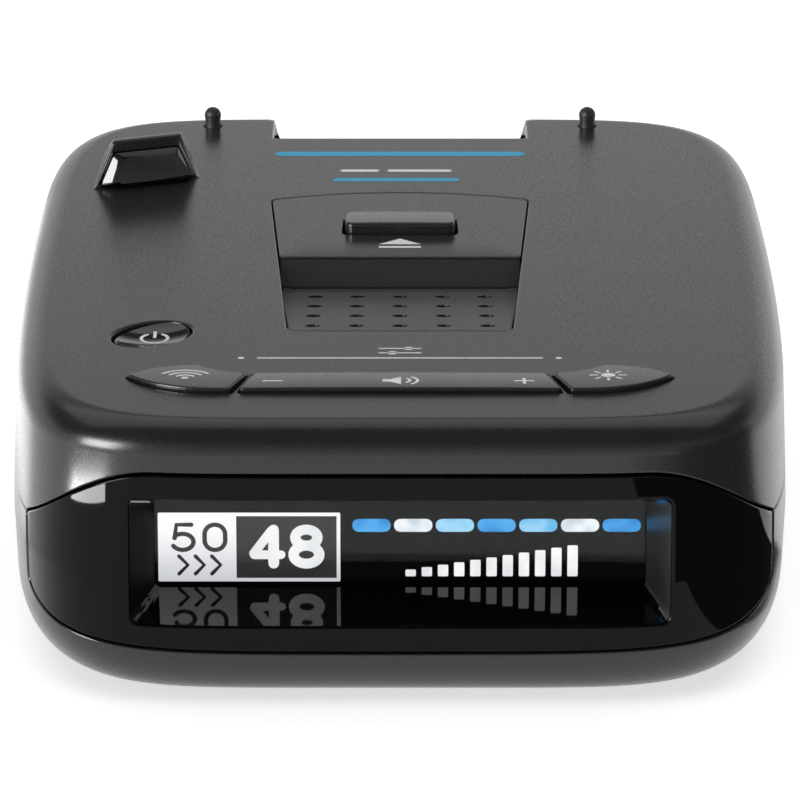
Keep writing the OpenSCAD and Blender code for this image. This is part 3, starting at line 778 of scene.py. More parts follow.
LEAF_TIP, LEAF_PEAK = (24.9, -40.9), (18.7, -37.6)
LEAF_FAR, LEAF_NEAR = (14.0, -40.4), (15.5, -45.4)
POWER_AT, POWER_AXES, POWER_TURN = (-23.3, -27), (4.3, 3.15), math.radians(58)
ROCKER_FAR_HALF, ROCKER_NEAR_HALF, ROCKER_Y = 13.3, 14.6, (-45.3, -39.95)
FIRST_HOLE_Y, HOLE_PITCH = -5.6, (4.15, 5.8)
SPEAKER_HOLES = [(x * HOLE_PITCH[0], FIRST_HOLE_Y - row * HOLE_PITCH[1])
                 for x in range(-2, 3) for row in range(4)]


def leaf_outline():
    """Leaf-shaped key on the right."""
    raw = (bow(LEAF_TIP, LEAF_PEAK, -0.85) + bow(LEAF_PEAK, LEAF_FAR, 0.55)
           + [np.array(LEAF_FAR), np.array(LEAF_NEAR)] + bow(LEAF_NEAR, LEAF_TIP, -1.55))
    return ccw(round_corners(np.array(raw), 0.3, 4))


def rocker_outline():
    """Bar between the leaf keys."""
    low, high = ROCKER_Y
    return ccw(round_corners([(-ROCKER_FAR_HALF, high), (-ROCKER_NEAR_HALF, low),
                              (ROCKER_NEAR_HALF, low), (ROCKER_FAR_HALF, high)], 0.3, 4))


def power_outline(margin=0.0):
    """Oval of the power button."""
    turn = np.arange(64) * 2 * math.pi / 64
    x, y = np.cos(turn) * (POWER_AXES[0] + margin), np.sin(turn) * (POWER_AXES[1] + margin)
    c, s = math.cos(POWER_TURN), math.sin(POWER_TURN)
    return np.column_stack([POWER_AT[0] + x * c - y * s, POWER_AT[1] + x * s + y * c])


def panel_outline():
    """Trapezoid of the release panel, with a bowed far edge."""
    x, y = PANEL_FAR
    raw = bow((x, y), (-x, y), -PANEL_BOW, 16) + [
        np.array([-x, y]), np.array([-PANEL_NEAR_HALF, RAMP_END_Y]),
        np.array([PANEL_NEAR_HALF, RAMP_END_Y])]
    return ccw(round_corners(np.array(raw), 1.4, 7))


# ---------- Case shells ----------

cover_map = CaseMap(top=True)
base_map = CaseMap(top=False)
band_map = BandMap()

LASER_X, LASER_Z = (19.2, 30.6), (7.2, 16.8)
RADOME_HALF, RADOME_Z = 16.7, (4.0, 17.7)
MOUTH_HALF, MOUTH_TOP = 14.5, 24.8


def bezel_upper(x):
    """Height of the bezel's upper edge."""
    return BEZEL_TOP - BEZEL_DROP * (np.maximum(0, np.abs(x) - BEZEL_FLAT)
                                     / (BEZEL_SIDE - BEZEL_FLAT)) ** 2


def end_run(plan, x_from, x_to, z, far=True, step=1.0):
    """Plan points along an end face at one height, from one X up to, and without, the other."""
    count = max(2, int(abs(x_to - x_from) / step))
    xs = x_from + (x_to - x_from) * np.arange(count) / count
    zs = np.full(count, float(z))
    return plan(angle_at(xs, zs, far), along_of(zs))


def end_rise(plan, x, z_from, z_to, far=True, step=0.7):
    """Plan points up or down an end face at one X, up to, and without, the last height."""
    count = max(2, int(abs(z_to - z_from) / step))
    zs = z_from + (z_to - z_from) * np.arange(count) / count
    return plan(angle_at(np.full(count, float(x)), zs, far), along_of(zs))


def side_run(plan, angle_from, angle_to, z):
    """Plan points round the right side at one height."""
    count = 240
    angles = angle_from + (angle_to - angle_from) * np.arange(count) / count
    return plan(angles, along_of(np.full(count, float(z))))


def both_halves(right, left):
    """A loop from two right halves that start on the middle line in front and end on it behind."""
    return np.concatenate([right, left[::-1] * [-1, 1]])


def laser_steps(plan, edge, opening):
    """Plan points along the far end from the corner to the radome, round the laser opening."""
    return np.concatenate([
        end_rise(plan, LASER_X[1], edge, opening),
        end_run(plan, LASER_X[1], LASER_X[0], opening),
        end_rise(plan, LASER_X[0], opening, edge),
        end_run(plan, LASER_X[0], RADOME_HALF, edge)])


def side_grid(case_map, alongs):
    """Plan points over the sides and the curved edge, denser round the corners."""
    turn = np.linspace(0, 2 * math.pi, 420, endpoint=False)
    angles = turn - 0.11 * np.sin(4 * turn)
    return np.concatenate([case_map.plan(angles, np.full(len(angles), a)) for a in alongs])


def cover_loop():
    """Outer edge of the top cover."""
    low = PARTING_Z + SEAM
    plan = cover_map.plan
    xs = np.concatenate([np.arange(0.4, 22, 1.0), np.arange(22, BEZEL_SIDE, 0.5)])
    z = np.maximum(low, bezel_upper(xs) + 2 * SEAM)
    front = plan(angle_at(xs, z, False), along_of(z))
    corner = float(angle_at(BEZEL_SIDE + 2 * SEAM, low, False))
    flat = [(NOTCH_HALF, y) for y in np.arange(52, NOTCH_Y, -0.8)]
    notch = [(x, NOTCH_Y) for x in np.arange(NOTCH_HALF, 0.2, -0.8)]
    near = [front, side_run(plan, corner, float(angle_at(LASER_X[1], low, True)), low)]
    far = [
        end_rise(plan, RADOME_HALF, low, RADOME_Z[1]),
        end_run(plan, RADOME_HALF, MOUTH_HALF, RADOME_Z[1]),
        end_rise(plan, MOUTH_HALF, RADOME_Z[1], MOUTH_TOP),
        end_run(plan, MOUTH_HALF, NOTCH_HALF, MOUTH_TOP, step=0.4),
        end_rise(plan, NOTCH_HALF, MOUTH_TOP, COVER_TOP, step=0.25),
        np.array(flat), np.array(notch)]
    right = near + [laser_steps(plan, low, LASER_Z[1])] + far
    left = near + [end_run(plan, LASER_X[1], RADOME_HALF, low)] + far
    return both_halves(np.concatenate(right), np.concatenate(left))


POD_NEAR = np.array([(-31.5, 24.35), (-21.05, 28.8)])
POD_CREST = np.array([(-29.6, 25.18), (-22.7, 28.13)])
POD_FAR = np.array([(-31.0, 42.4), (-23.2, 45.2)])
POD_AT = POD_NEAR.mean(0)
POD_TURN = math.radians(23)
POD_HEIGHT = POD_TOP - COVER_TOP


def from_pod(points):
    """Points from the pod's own frame, in which the window faces -Y, to the row frame."""
    points = np.asarray(points, float)
    c, s = math.cos(POD_TURN), math.sin(POD_TURN)
    x = POD_AT[0] + points[:, 0] * c - points[:, 1] * s
    y = POD_AT[1] + points[:, 0] * s + points[:, 1] * c
    return np.column_stack([x, y, points[:, 2]])


def pod_section(share):
    """Section of the pod at a share of its length: foot, side, round shoulder and roof."""
    foot = POD_NEAR + (POD_FAR - POD_NEAR) * share
    crest = POD_CREST + (POD_FAR - POD_CREST) * share
    swell = 1 + 0.075 * (1 - share) * (share > 0)
    rise = POD_HEIGHT * (1 - share) * swell
    left, right = np.append(foot[0], 0), np.append(foot[1], 0)
    apron = (right - left) / np.linalg.norm(right - left) * 0.9
    raw = [left - apron, left, np.append(crest[0], rise), np.append(crest[1], rise), right,
           right + apron]
    smooth = [raw[0]]
    for i, radius in enumerate((0.5, 0.45, 0.45, 0.5), 1):
        smooth += blend(raw[i - 1], raw[i], raw[i + 1], radius, 7)
    smooth.append(raw[5])
    return np.array(smooth)


def grid_normals(grid):
    """Normals of a grid of points, rows by columns."""
    across = np.gradient(grid, axis=1)
    along = np.gradient(grid, axis=0)
    normals = np.cross(across, along)
    return normals / np.maximum(1e-12, np.linalg.norm(normals, axis=2))[..., None]


def add_pod(build):
    """Adds the hood of the rear laser window, with a rounded brow round the window's seat."""
    brow, chamfer, sink, under = 0.4, 0.5, 0.012, COVER_TOP - 0.4
    rows = []
    near = pod_section(0.0)
    back = (pod_section(0.5) - near) * [1, 1, 0]
    back /= np.linalg.norm(back, axis=1)[:, None]
    middle = np.append(POD_AT, POD_HEIGHT * 0.4)
    pull = near - middle
    pull /= np.linalg.norm(pull, axis=1)[:, None]
    lifted = np.clip(near[:, 2] / 0.8, 0, 1)[:, None]
    for turn in np.linspace(0, math.pi / 2, 6):
        rows.append(near - pull * lifted * brow * (1 - math.sin(turn))
                    + back * (brow * (1 - math.cos(turn)) + chamfer * lifted))
    rows += [near + back * (brow + chamfer + 0.3),
             near + back * (brow + chamfer + 0.6) - [0, 0, 0.02]]
    for share in np.linspace(0.11, 1, 26):
        rows.append(pod_section(share))
    grid = np.array(rows) + [0, 0, COVER_TOP - sink]
    normals = grid_normals(grid)
    ids = [build.add(row) for row in grid]
    for i in range(len(ids) - 1):
        build.strip(ids[i], ids[i + 1], normals[i], normals[i + 1], closed=False)
    corners = grid[[0, 0, -1, -1], [0, -1, 0, -1]] * [1, 1, 0] + [0, 0, under]
    low = build.add(corners)
    # Face round the window's seat, in the pod's own frame
    across = np.array([math.cos(POD_TURN), math.sin(POD_TURN)])
    ring = np.concatenate([grid[0], corners[[1, 0]]])
    loop = np.column_stack([(ring[:, :2] - POD_AT) @ across, ring[:, 2] - COVER_TOP])
    loop_ids = np.concatenate([ids[0], low[[1, 0]]])
    if ccw(loop)[0, 0] != loop[0, 0]:
        loop, loop_ids = loop[::-1], loop_ids[::-1]
    seat, seat_depth = ccw(window_outline(0.12))[::-1], 1.1
    seat_ids = [build.add(from_pod(np.column_stack([seat[:, 0], np.full(len(seat), depth),
                                                    seat[:, 1] + COVER_TOP])))
                for depth in (0.0, seat_depth)]
    order = np.concatenate([loop_ids, seat_ids[0]])
    for corner in triangulate([loop, seat]):
        build.face(order[corner])
    build.strip(seat_ids[1], seat_ids[0])
    build.face(seat_ids[1][::-1])
    build.face([low[0], low[2]] + [row[0] for row in ids][::-1])
    build.face([low[1]] + [row[-1] for row in ids] + [low[3]])
    build.face(list(ids[-1]) + [low[3], low[2]])
    build.face([low[0], low[1], low[3], low[2]])


def window_outline(gap=0.0):
    """Trapezoid of the rear laser window, in the pod's face, above the cover."""
    low, high, low_half, high_half = 0.15 - gap, 3.6 + gap, 5.1 + gap, 3.5 + gap
    return ccw(round_corners([(-low_half, low), (low_half, low), (high_half, high),
                              (-high_half, high)], 0.25, 3))


def make_top_cover():
    """Upper shell, with its openings, and the hood of the rear laser window."""
    panel = panel_outline()
    rims = [
        Rim(cover_loop(), 0.22),
        Rim(resample(panel, 1.0), 0.22, skirt=COVER_TOP - STEP_Z + 0.6),
        Rim(offset_loop(leaf_outline(), -KEY_GAP), 0.18),
        Rim(offset_loop(mirrored(leaf_outline()), -KEY_GAP), 0.18),
        Rim(offset_loop(rocker_outline(), -KEY_GAP), 0.18),
        Rim(power_outline(KEY_GAP), 0.25),
        Rim(circle((PEG[0], PEG[1]), 1.0), 0.15),
        Rim(circle((-PEG[0], PEG[1]), 1.0), 0.15)]
    straight = np.linspace(PARTING_Z + 0.5, TOP_START, 7)
    curve = np.linspace(TOP_START, TOP_END, 11)[1:]
    grid = side_grid(cover_map, np.concatenate([straight, curve]))
    flat = np.array([(x, y) for x in np.arange(-32, 33, 4) for y in np.arange(-50, 52, 4)], float)
    build = Build()
    add_wall(build, cover_map, rims, WALL, np.concatenate([grid, flat]))
    add_pod(build)
    return dress(build.finish("top_cover_shell"), "case_plastic", replaces=["top_cover"])


def side_points(case_map, corners):
    """Plan loop of a polygon on the right side, given by its Y and Z."""
    raw = resample(corners, 0.6)
    spread = np.linspace(math.radians(-80), math.radians(80), 4000)
    angles = []
    for y, z in raw:
        ys = outline(spread, side_ring(along_of(z))[0])[1]
        angles.append(float(np.interp(y, ys, spread)))
    return case_map.plan(np.array(angles), along_of(raw[:, 1]))


def make_bottom_case():
    """Lower shell, with the screw wells, the label recess and the side sockets."""
    high = PARTING_Z - SEAM
    side = BEZEL_SIDE + 2 * SEAM
    plan = base_map.plan
    turn = np.linspace(0.02, math.pi / 2, 60)
    xs = side * np.sqrt(np.sin(turn))
    z = BEZEL_LOW + BEZEL_LOW_RISE - 2 * SEAM - BEZEL_LOW_RISE * np.sqrt(np.cos(turn))
    keep = xs > 0.5
    front = np.concatenate([end_run(plan, 0.5, xs[keep][0], z[keep][0], False, 0.8),
                            plan(angle_at(xs[keep][:-1], z[keep][:-1], False),
                                 along_of(z[keep][:-1]))])
    corner = float(angle_at(side, high, False))
    near = [front,
            end_rise(plan, side, float(z[-1]), high, False, 0.5),
            side_run(plan, corner, float(angle_at(LASER_X[1], high, True)), high)]
    far = [end_rise(plan, RADOME_HALF, high, RADOME_Z[0]),
           end_run(plan, RADOME_HALF, 0.4, RADOME_Z[0])]
    right = near + [laser_steps(plan, high, LASER_Z[0])] + far
    left = near + [end_run(plan, LASER_X[1], RADOME_HALF, high)] + far
    socket_hole = circle((10, 8.4), 3.3, 30)
    power, power_high = box_mm("power_jack")
    usb, usb_high = box_mm("usb_port")
    power_hole = rectangle((power[1] + 0.8, 5.4), (power_high[1] - 0.8, power_high[2]), 0.5)
    usb_hole = rectangle((usb[1] - 0.3, 5.2), (usb_high[1] + 0.3, 9.8), 0.6)
    rims = [Rim(both_halves(np.concatenate(right), np.concatenate(left)), 0.22)]
    rims += [Rim(side_points(base_map, hole), 0.2, steps=3)
             for hole in (power_hole, socket_hole, usb_hole)]
    rims += [Rim(circle(place, 2.0), 0.2) for place in SCREWS]
    straight = np.linspace(BOTTOM_ROUND, high - 0.5, 7)
    curve = np.linspace(BOTTOM_END, BOTTOM_ROUND, 13)[:-1]
    grid = side_grid(base_map, np.concatenate([straight, curve]))
    build = Build()
    low, up = box_mm("rating_label")
    label = rectangle((low[0] - 0.3, low[1] - 0.3), (up[0] + 0.3, up[1] + 0.3), 1.0)
    rims.append(Rim(resample(label, 2.0), 0.12, steps=3, pocket=0.32))
    add_wall(build, base_map, rims, WALL, grid, flip=True)
    return dress(build.finish("bottom_case_shell", flip=True), "lower_case_plastic",
                 replaces=["bottom_case"])


def make_front_bezel():
    """Glossy bezel that wraps the front corners, with the tunnel in front of the display."""
    plan = band_map.plan
    turn = np.linspace(-math.pi / 2, math.pi / 2, 120)
    xs = BEZEL_SIDE * np.sign(np.sin(turn)) * np.sqrt(np.abs(np.sin(turn)))
    z = BEZEL_LOW + BEZEL_LOW_RISE - BEZEL_LOW_RISE * np.sqrt(np.abs(np.cos(turn)))
    gaps = np.concatenate([[1], np.hypot(np.diff(xs), np.diff(z))])
    keep = gaps > 0.05
    xs, z = xs[keep], z[keep]
    lower = plan(angle_at(xs[:-1], z[:-1], False), along_of(z[:-1]))
    right = end_rise(plan, BEZEL_SIDE, z[-1], float(bezel_upper(BEZEL_SIDE)), False, 0.5)
    back = np.arange(BEZEL_SIDE, -BEZEL_SIDE, -0.6)
    upper = plan(angle_at(back, bezel_upper(back), False), along_of(bezel_upper(back)))
    left = end_rise(plan, -BEZEL_SIDE, float(bezel_upper(BEZEL_SIDE)), z[-1], False, 0.5)
    outer = np.concatenate([resample(lower, 0.9, False)[:-1], right, upper, left])

    half, low, high = WINDOW
    hole = resample(rectangle((-half, low), (half, high), 0.9, 6), 0.8)
    window = plan(angle_at(hole[:, 0], hole[:, 1], False), along_of(hole[:, 1]))

    def tunnel(loop):
        """Rings down the recess to the display, and back along the outside of its wall."""
        mouth = band_map(loop, np.full(len(loop), 0.3))
        share = (mouth[:, 2] - low) / (high - low)
        end_half, end_low, end_high = WINDOW_END
        end = np.column_stack([mouth[:, 0] * end_half / half, np.full(len(mouth), RECESS_END),
                               end_low + share * (end_high - end_low)])
        middle = np.array([0, 0, (end_low + end_high) / 2])
        grow = np.sign(end - middle) * [1.0, 0, 1.0]
        behind = mouth + np.sign(mouth - [0, 0, (low + high) / 2]) * [1.0, 0, 1.0]
        behind[:, 1] = -HALF_LENGTH + WALL + 0.9
        return [mouth * (1 - t) + end * t for t in (0.33, 0.66, 1.0)] + [end + grow, behind]

    rims = [Rim(outer, 0.2), Rim(window, 0.3, tunnel=tunnel, steps=6)]
    angles = np.radians(np.concatenate([np.arange(-150, -128, 0.75), np.arange(-128, -118, 0.5),
                                        np.arange(-118, -62, 1.5), np.arange(-62, -52, 0.5),
                                        np.arange(-52, -30, 0.75)]))
    grid = np.concatenate([plan(angles, np.full(len(angles), a))
                           for a in np.arange(2.0, bezel_upper(0) - 0.3, 0.7)])
    build = Build()
    add_wall(build, band_map, rims, WALL, grid)
    bezel = dress(build.finish("front_bezel_shell"), "gloss_black", replaces=["front_bezel"])
    # The side walls of the recess are textured, so they don't mirror the display. The right wall is
    # a lighter greenish copy, a painted reflection of light, and the left wall a near-black copy,
    # painted shade
    bezel.data.materials.append(moulded("recess_painted_light", (0.03, 0.034, 0.029), 0.34))
    bezel.data.materials.append(moulded("recess_shade", (0.0015, 0.0015, 0.0015), 0.6,
                                        specular=0.03))
    # Right wall gets the painted-light copy, left wall the painted-shade copy
    for polygon in bezel.data.polygons:
        x, y, _ = polygon.center / MM
        in_recess = -HALF_LENGTH + 0.4 < y < RECESS_END + 0.1 and abs(x) < half + 0.1
        if in_recess and abs(polygon.normal.x) > 0.75:
            polygon.material_index = 1 if x > 0 else 2
    return bezel


def ramp_line():
    """Side view of the release panel: flush half, step with round edges, and ramp."""
    foot = (STEP_Y - 0.5, STEP_Z)
    raw = [(30, COVER_TOP), (STEP_Y + 0.25, COVER_TOP), foot, (RAMP_END_Y - 2, COVER_TOP + 0.25)]
    raw = np.array(raw, float)
    made = [raw[0]]
    for i, radius in ((1, 0.45), (2, 0.5)):
        made += blend(raw[i - 1], raw[i], raw[i + 1], radius, 9)
    made.append(raw[3])
    return np.array(made, float)


class RampMap:
    """Plan X and distance along the panel's side view, onto its stepped face."""

    def __init__(self):
        self.line = ramp_line()
        steps = np.linalg.norm(np.diff(self.line, axis=0), axis=1)
        self.lengths = np.concatenate([[0], np.cumsum(steps)])
        slopes = np.gradient(self.line, axis=0)
        slopes /= np.linalg.norm(slopes, axis=1)[:, None]
        self.normals = np.column_stack([slopes[:, 1], -slopes[:, 0]])

    def along(self, y):
        """Distance along the side view at each Y, with the step's wall taken at its first point."""
        return np.interp(-np.asarray(y, float), -self.line[:, 0], self.lengths)

    def __call__(self, plan, depth):
        run = -plan[:, 1]
        y = np.interp(run, self.lengths, self.line[:, 0])
        z = np.interp(run, self.lengths, self.line[:, 1])
        down_y = np.interp(run, self.lengths, self.normals[:, 0])
        down_z = np.interp(run, self.lengths, self.normals[:, 1])
        return np.column_stack([plan[:, 0], y - down_y * depth, z - down_z * depth])


def make_release_panel():
    """Stepped insert of the cover, with the button's slot and the speaker holes."""
    ramp_map = RampMap()
    loop = resample(offset_loop(panel_outline(), 0.12), 0.7)
    order = []
    for here, after in zip(loop, np.roll(loop, -1, 0)):
        order.append((here[0], -ramp_map.along(here[1])))
        crossing = (here[1] - STEP_Y) * (after[1] - STEP_Y) < 0
        if crossing:
            wall_top, wall_foot = ramp_map.along(STEP_Y + 0.3), ramp_map.along(STEP_Y - 0.6)
            down = here[1] > after[1]
            stops = np.linspace(wall_top, wall_foot, 9)
            order += [(here[0] + (after[0] - here[0]) * 0.5, -s)
                      for s in (stops if down else stops[::-1])]
    outer = np.array(order)
    gaps = np.linalg.norm(outer - np.roll(outer, 1, 0), axis=1)
    outer = outer[gaps > 0.05]
    slot = rectangle((-5.75, 7.05), (5.75, 12.85), 0.7, 4)
    slot = np.column_stack([slot[:, 0], -ramp_map.along(slot[:, 1])])
    rims = [Rim(ccw(outer), 0.12, steps=3), Rim(resample(slot, 0.8), 0.18, steps=3)]
    for x, y in SPEAKER_HOLES:
        hole = circle((x, y), 0.72, 20)
        rims.append(Rim(np.column_stack([hole[:, 0], -ramp_map.along(hole[:, 1])]), 0.1, steps=2))
    rows = np.concatenate([ramp_map.lengths[1:-1], np.linspace(4, 26, 8), np.linspace(34, 56, 12)])
    grid = np.array([(x, -run) for run in rows for x in np.arange(-12.5, 12.6, 1.0)])
    panel = wall_piece("release_panel_face", ramp_map, rims, 1.0, grid)
    dress(panel, "case_plastic", replaces=["release_panel"])
    # The speaker's ramp is textured
    panel.data.materials.append(moulded("grille_texture", (0.055, 0.0555, 0.057), 0.55))
    for polygon in panel.data.polygons:
        if polygon.center.y / MM < STEP_Y - 0.45 and polygon.normal.z > 0.8:
            polygon.material_index = 1
    return panel


def cap_surface(loop, top, crown, slope):
    """Surface of a key cap: crowned, and sloped down to its far edge."""
    middle = (loop.min(0) + loop.max(0)) / 2
    reach = (loop.max(0) - loop.min(0)) / 2

    def surface(plan, depth):
        offset = (plan - middle) / reach
        sag = crown * (offset ** 2).sum(1) + slope * (1 + offset[:, 1]) / 2
        return np.column_stack([plan, top - sag - depth])
    return surface


def make_key(name, loop, top, low, radius, slot, body, node, crown=0.0, slope=0.0):
    """A key cap: a solid slab with round upper edges."""
    build = Build()
    surface = cap_surface(loop, top, crown, slope)
    grid = np.array([(x, y) for x in np.arange(loop[:, 0].min(), loop[:, 0].max(), 0.8)
                     for y in np.arange(loop[:, 1].min(), loop[:, 1].max(), 0.8)])
    add_wall(build, surface, [Rim(resample(loop, 0.5), radius, steps=6)], top - low, grid)
    return dress(build.finish(name), slot, body, [node])


LEAF_FORM = (0.06, 0.2)  # crown, and fall to the far edge
ROCKER_FORM = (0.06, 0.2)


def make_keys():
    """Leaf keys, rocker, power button and release button."""
    low = COVER_TOP - 2.6
    right = leaf_outline()
    make_key("right_key_cap", right, KEY_TOP, low, 0.22, "key_plastic", "right_key",
             "right_button", *LEAF_FORM)
    make_key("left_key_cap", mirrored(right), KEY_TOP, low, 0.22, "key_plastic", "left_key",
             "left_button", *LEAF_FORM)
    make_key("volume_rocker_cap", rocker_outline(), KEY_TOP, COVER_TOP - 1.4, 0.22,
             "key_plastic", "rocker", "volume_rocker", *ROCKER_FORM)
    button_top = box_mm("release_button")[1][2]
    cap = rectangle((-5.5, 7.3), (5.5, 12.6), 0.9, 6)
    make_key("release_button_cap", cap, button_top, COVER_TOP - 4.0, 0.35, "key_plastic",
             "release", "release_button", 0.04, 0.25)
    make_power_button()


DISH_RADIUS = 13
DISH_DEPTH = 0.75


def dish_height(plan):
    """Height of the power button's dished face."""
    distance = np.hypot(plan[:, 0] - POWER_AT[0], plan[:, 1] - POWER_AT[1])
    dish = COVER_TOP + DISH_RADIUS - DISH_DEPTH - np.sqrt(DISH_RADIUS ** 2 - distance ** 2)
    return np.minimum(dish, COVER_TOP - 0.08)


def make_power_button():
    """Oval glossy button with a finger dish."""
    def surface(plan, depth):
        return np.column_stack([plan, dish_height(plan) - depth])

    loop = power_outline(0.0)
    x, y = POWER_AT
    grid = np.array([(x + a, y + b) for a in np.arange(-5, 5.1, 0.35)
                     for b in np.arange(-5, 5.1, 0.35)])
    cap = wall_piece("power_button_cap", surface, [Rim(loop, 0.2, steps=5)], 1.3, grid)
    dress(cap, "key_gloss", "power_key", ["power_button"])


def make_plate(name, loops_list, place, thickness, slot, body, material):
    """Thin flat marks: each entry of loops_list is an outer loop and its holes."""
    build = Build()
    for loops in loops_list:
        rims = [Rim(loop, thickness * 0.4, steps=1) for loop in loops]
        add_wall(build, place, rims, thickness)
    return dress(build.finish(name), slot, body, material=material)


# ---------- Small outside pieces ----------

LENS_LEAN = 0.24  # slope of the face, so it leans back as it rises
LENS_SINK = 1.45


def make_rear_lens():
    """Faceted glossy window in the pod: a face with wide bevels, its left one the widest."""
    outer = window_outline(-0.02)
    middle = outer.mean(0)
    reach = np.abs(outer - middle).max(0)
    share = (outer - middle) / reach
    inner = outer.copy()
    inner[:, 0] = np.where(share[:, 0] < 0, outer[:, 0] + 1.5 - 0.17 * outer[:, 1],
                           outer[:, 0] - 0.4)
    inner[:, 1] = np.where(share[:, 1] > 0, outer[:, 1] - 0.45, outer[:, 1] + 0.4)
    build = Build()
    lean = LENS_LEAN * inner[:, 1] - LENS_SINK
    depths = [(0.9, outer), (-0.08, outer), (-0.14, outer * 0.99 + middle * 0.01),
              (lean, inner), (lean - 0.05, inner * 0.97 + middle * 0.03)]
    rows = []
    for depth, loop in depths:
        rows.append(build.add(from_pod(np.column_stack([loop[:, 0], np.zeros(len(loop)) + depth,
                                                        loop[:, 1] + COVER_TOP]))))
    for low, high in zip(rows, rows[1:]):
        build.strip(low, high)
    build.face(rows[-1])
    build.face(rows[0][::-1])
    lens = build.finish("rear_laser_window", smooth_angle=25)
    tint = polished("tinted_window", (0.006, 0.006, 0.0058), 0.03, 0.5)
    return dress(lens, "gloss_black", replaces=["rear_laser_lens"], material=tint)


def spin(profile, centre):
    """Solid turned from a profile of radius and height pairs, from its foot to its tip."""
    build = Build()
    count = 40
    turn = np.arange(count) * 2 * math.pi / count
    rows = []
    for radius, z in profile:
        rows.append(build.add(np.column_stack([centre[0] + radius * np.cos(turn),
                                               centre[1] + radius * np.sin(turn),
                                               np.full(count, z)])))
    for low, high in zip(rows, rows[1:]):
        build.strip(low, high)
    build.face(rows[-1])
    build.face(rows[0][::-1])
    return build


def make_pegs():
    """Two round-headed rubber pegs at the far edge."""
    low, high = box_mm("bumper_pegs")
    radius = 0.9
    neck = high[2] - radius
    dome = [(radius * math.cos(t), neck + radius * math.sin(t))
            for t in np.linspace(0, math.radians(86), 9)]
    profile = [(1.3, low[2]), (1.3, low[2] + 0.9), (0.86, low[2] + 1.0), (0.86, COVER_TOP + 0.1),
               (0.78, COVER_TOP + 0.45)] + dome
    for side, word in ((-1, "left"), (1, "right")):
        build = spin(profile, (side * PEG[0], PEG[1]))
        peg = build.finish(f"bumper_peg_{word}", smooth_angle=40)
        dress(peg, "rubber_black", replaces=["bumper_pegs"])


def make_screws():
    """Recessed cross-slot heads of the four case screws."""
    head_low, head_high = box_mm("case_screws")[0][2] + [0, 0.95]
    for number, (x, y) in enumerate(SCREWS):
        def surface(plan, depth):
            far = np.hypot(plan[:, 0] - x, plan[:, 1] - y)
            return np.column_stack([plan, head_low + 0.03 * far ** 2 + depth])

        arm, wide = 0.95, 0.2
        cross = [(wide, wide), (wide, arm), (-wide, arm), (-wide, wide), (-arm, wide),
                 (-arm, -wide), (-wide, -wide), (-wide, -arm), (wide, -arm), (wide, -wide),
                 (arm, -wide), (arm, wide)]
        slot = np.array(cross) + [x, y]
        build = Build()
        rims = [Rim(circle((x, y), 1.78, 40), 0.2), Rim(ccw(slot), 0.04, steps=1, pocket=0.6)]
        add_wall(build, surface, rims, head_high - head_low, flip=True)
        screw = build.finish(f"case_screw_{number}", flip=True)
        dress(screw, "spring_steel", replaces=["case_screws"])


def make_end_panels():
    """Radar-clear panel with shallow ribs, and the forward laser filter."""
    skin = 0.15

    def surface(plan, depth):
        return FAR_BAND(plan, depth + skin)

    def region(x_low, x_high, z_low, z_high, radius):
        corners = rectangle((x_low, z_low), (x_high, z_high), radius, 4)
        loop = resample(corners, 0.8)
        return FAR_BAND.plan(angle_at(loop[:, 0], loop[:, 1], True), along_of(loop[:, 1]))

    low, high = box_mm("radome_panel")
    rims = [Rim(region(low[0], high[0], low[2], high[2], 0.5), 0.25)]
    for z in np.arange(low[2] + 2.2, high[2] - 1.2, 1.9):
        rims.append(Rim(region(low[0] + 2, high[0] - 2, z, z + 0.7, 0.3), 0.15, steps=2,
                        pocket=0.45))
    xs = np.arange(low[0], high[0], 1.0)
    grid = np.concatenate([FAR_BAND.plan(angle_at(xs, np.full(len(xs), z), True), along_of(z))
                           for z in np.arange(low[2], high[2], 0.8)])
    panel = wall_piece("radome_cover", surface, rims, 1.3, grid, flip=True)
    dress(panel, "radome_plastic", replaces=["radome_panel"])
    low, high = box_mm("front_laser_lens")
    rims = [Rim(region(low[0], high[0], low[2], high[2], 0.7), 0.35, steps=5)]
    lens = wall_piece("front_laser_window", surface, rims, 1.3, grid, flip=True)
    dress(lens, "laser_filter", replaces=["front_laser_lens"])


class FarBand(BandMap):
    """Unrolled band round the far end. Its plan runs from +X to -X."""

    angles = np.linspace(math.radians(2), math.radians(178), 8000)

    def __init__(self):
        x, y = outline(self.angles, 0.0)
        lengths = np.concatenate([[0], np.cumsum(np.hypot(np.diff(x), np.diff(y)))])
        self.lengths = lengths - np.interp(math.radians(90), self.angles, lengths)


FAR_BAND = FarBand()


def make_lens():
    """Clear pane in front of the display."""
    low, high = box_mm("display_lens")

    def surface(plan, depth):
        return np.column_stack([plan[:, 0], low[1] + depth, plan[:, 1]])

    loop = rectangle((low[0], low[2]), (high[0], high[2]), 0.8, 5)
    pane = wall_piece("display_pane", surface, [Rim(loop, 0.15)], high[1] - low[1])
    return dress(pane, "clear_window", replaces=["display_lens"])


def make_label():
    """Blank film label in its recess, with a printed border."""
    low, high = box_mm("rating_label")
    under = flat_map(low[2], -1)
    loop = rectangle((low[0], low[1]), (high[0], high[1]), 0.8)
    build = Build()
    add_wall(build, under, [Rim(loop, 0.05, steps=2)], high[2] - low[2], flip=True)
    dress(build.finish("rating_label_film", flip=True), "label_film", replaces=["rating_label"])
    frame_low, frame_high = low + 1.2, high - 1.2
    ring = [rectangle(frame_low[:2], frame_high[:2], 0.5),
            rectangle(frame_low[:2] + 0.25, frame_high[:2] - 0.25, 0.4)]
    bars = [[rectangle((frame_low[0] + 2, y), (frame_low[0] + width, y + 0.5), 0.2)]
            for y, width in ((1.0, 20), (4.0, 26), (7.0, 16), (10.0, 24))]
    build = Build()
    for loops in [ring] + bars:
        add_wall(build, flat_map(low[2] - 0.01, -1), [Rim(l, 0.004, steps=1) for l in loops],
                 0.015, flip=True)
    dress(build.finish("rating_label_print", flip=True), "label_film", material=GREY_INK)


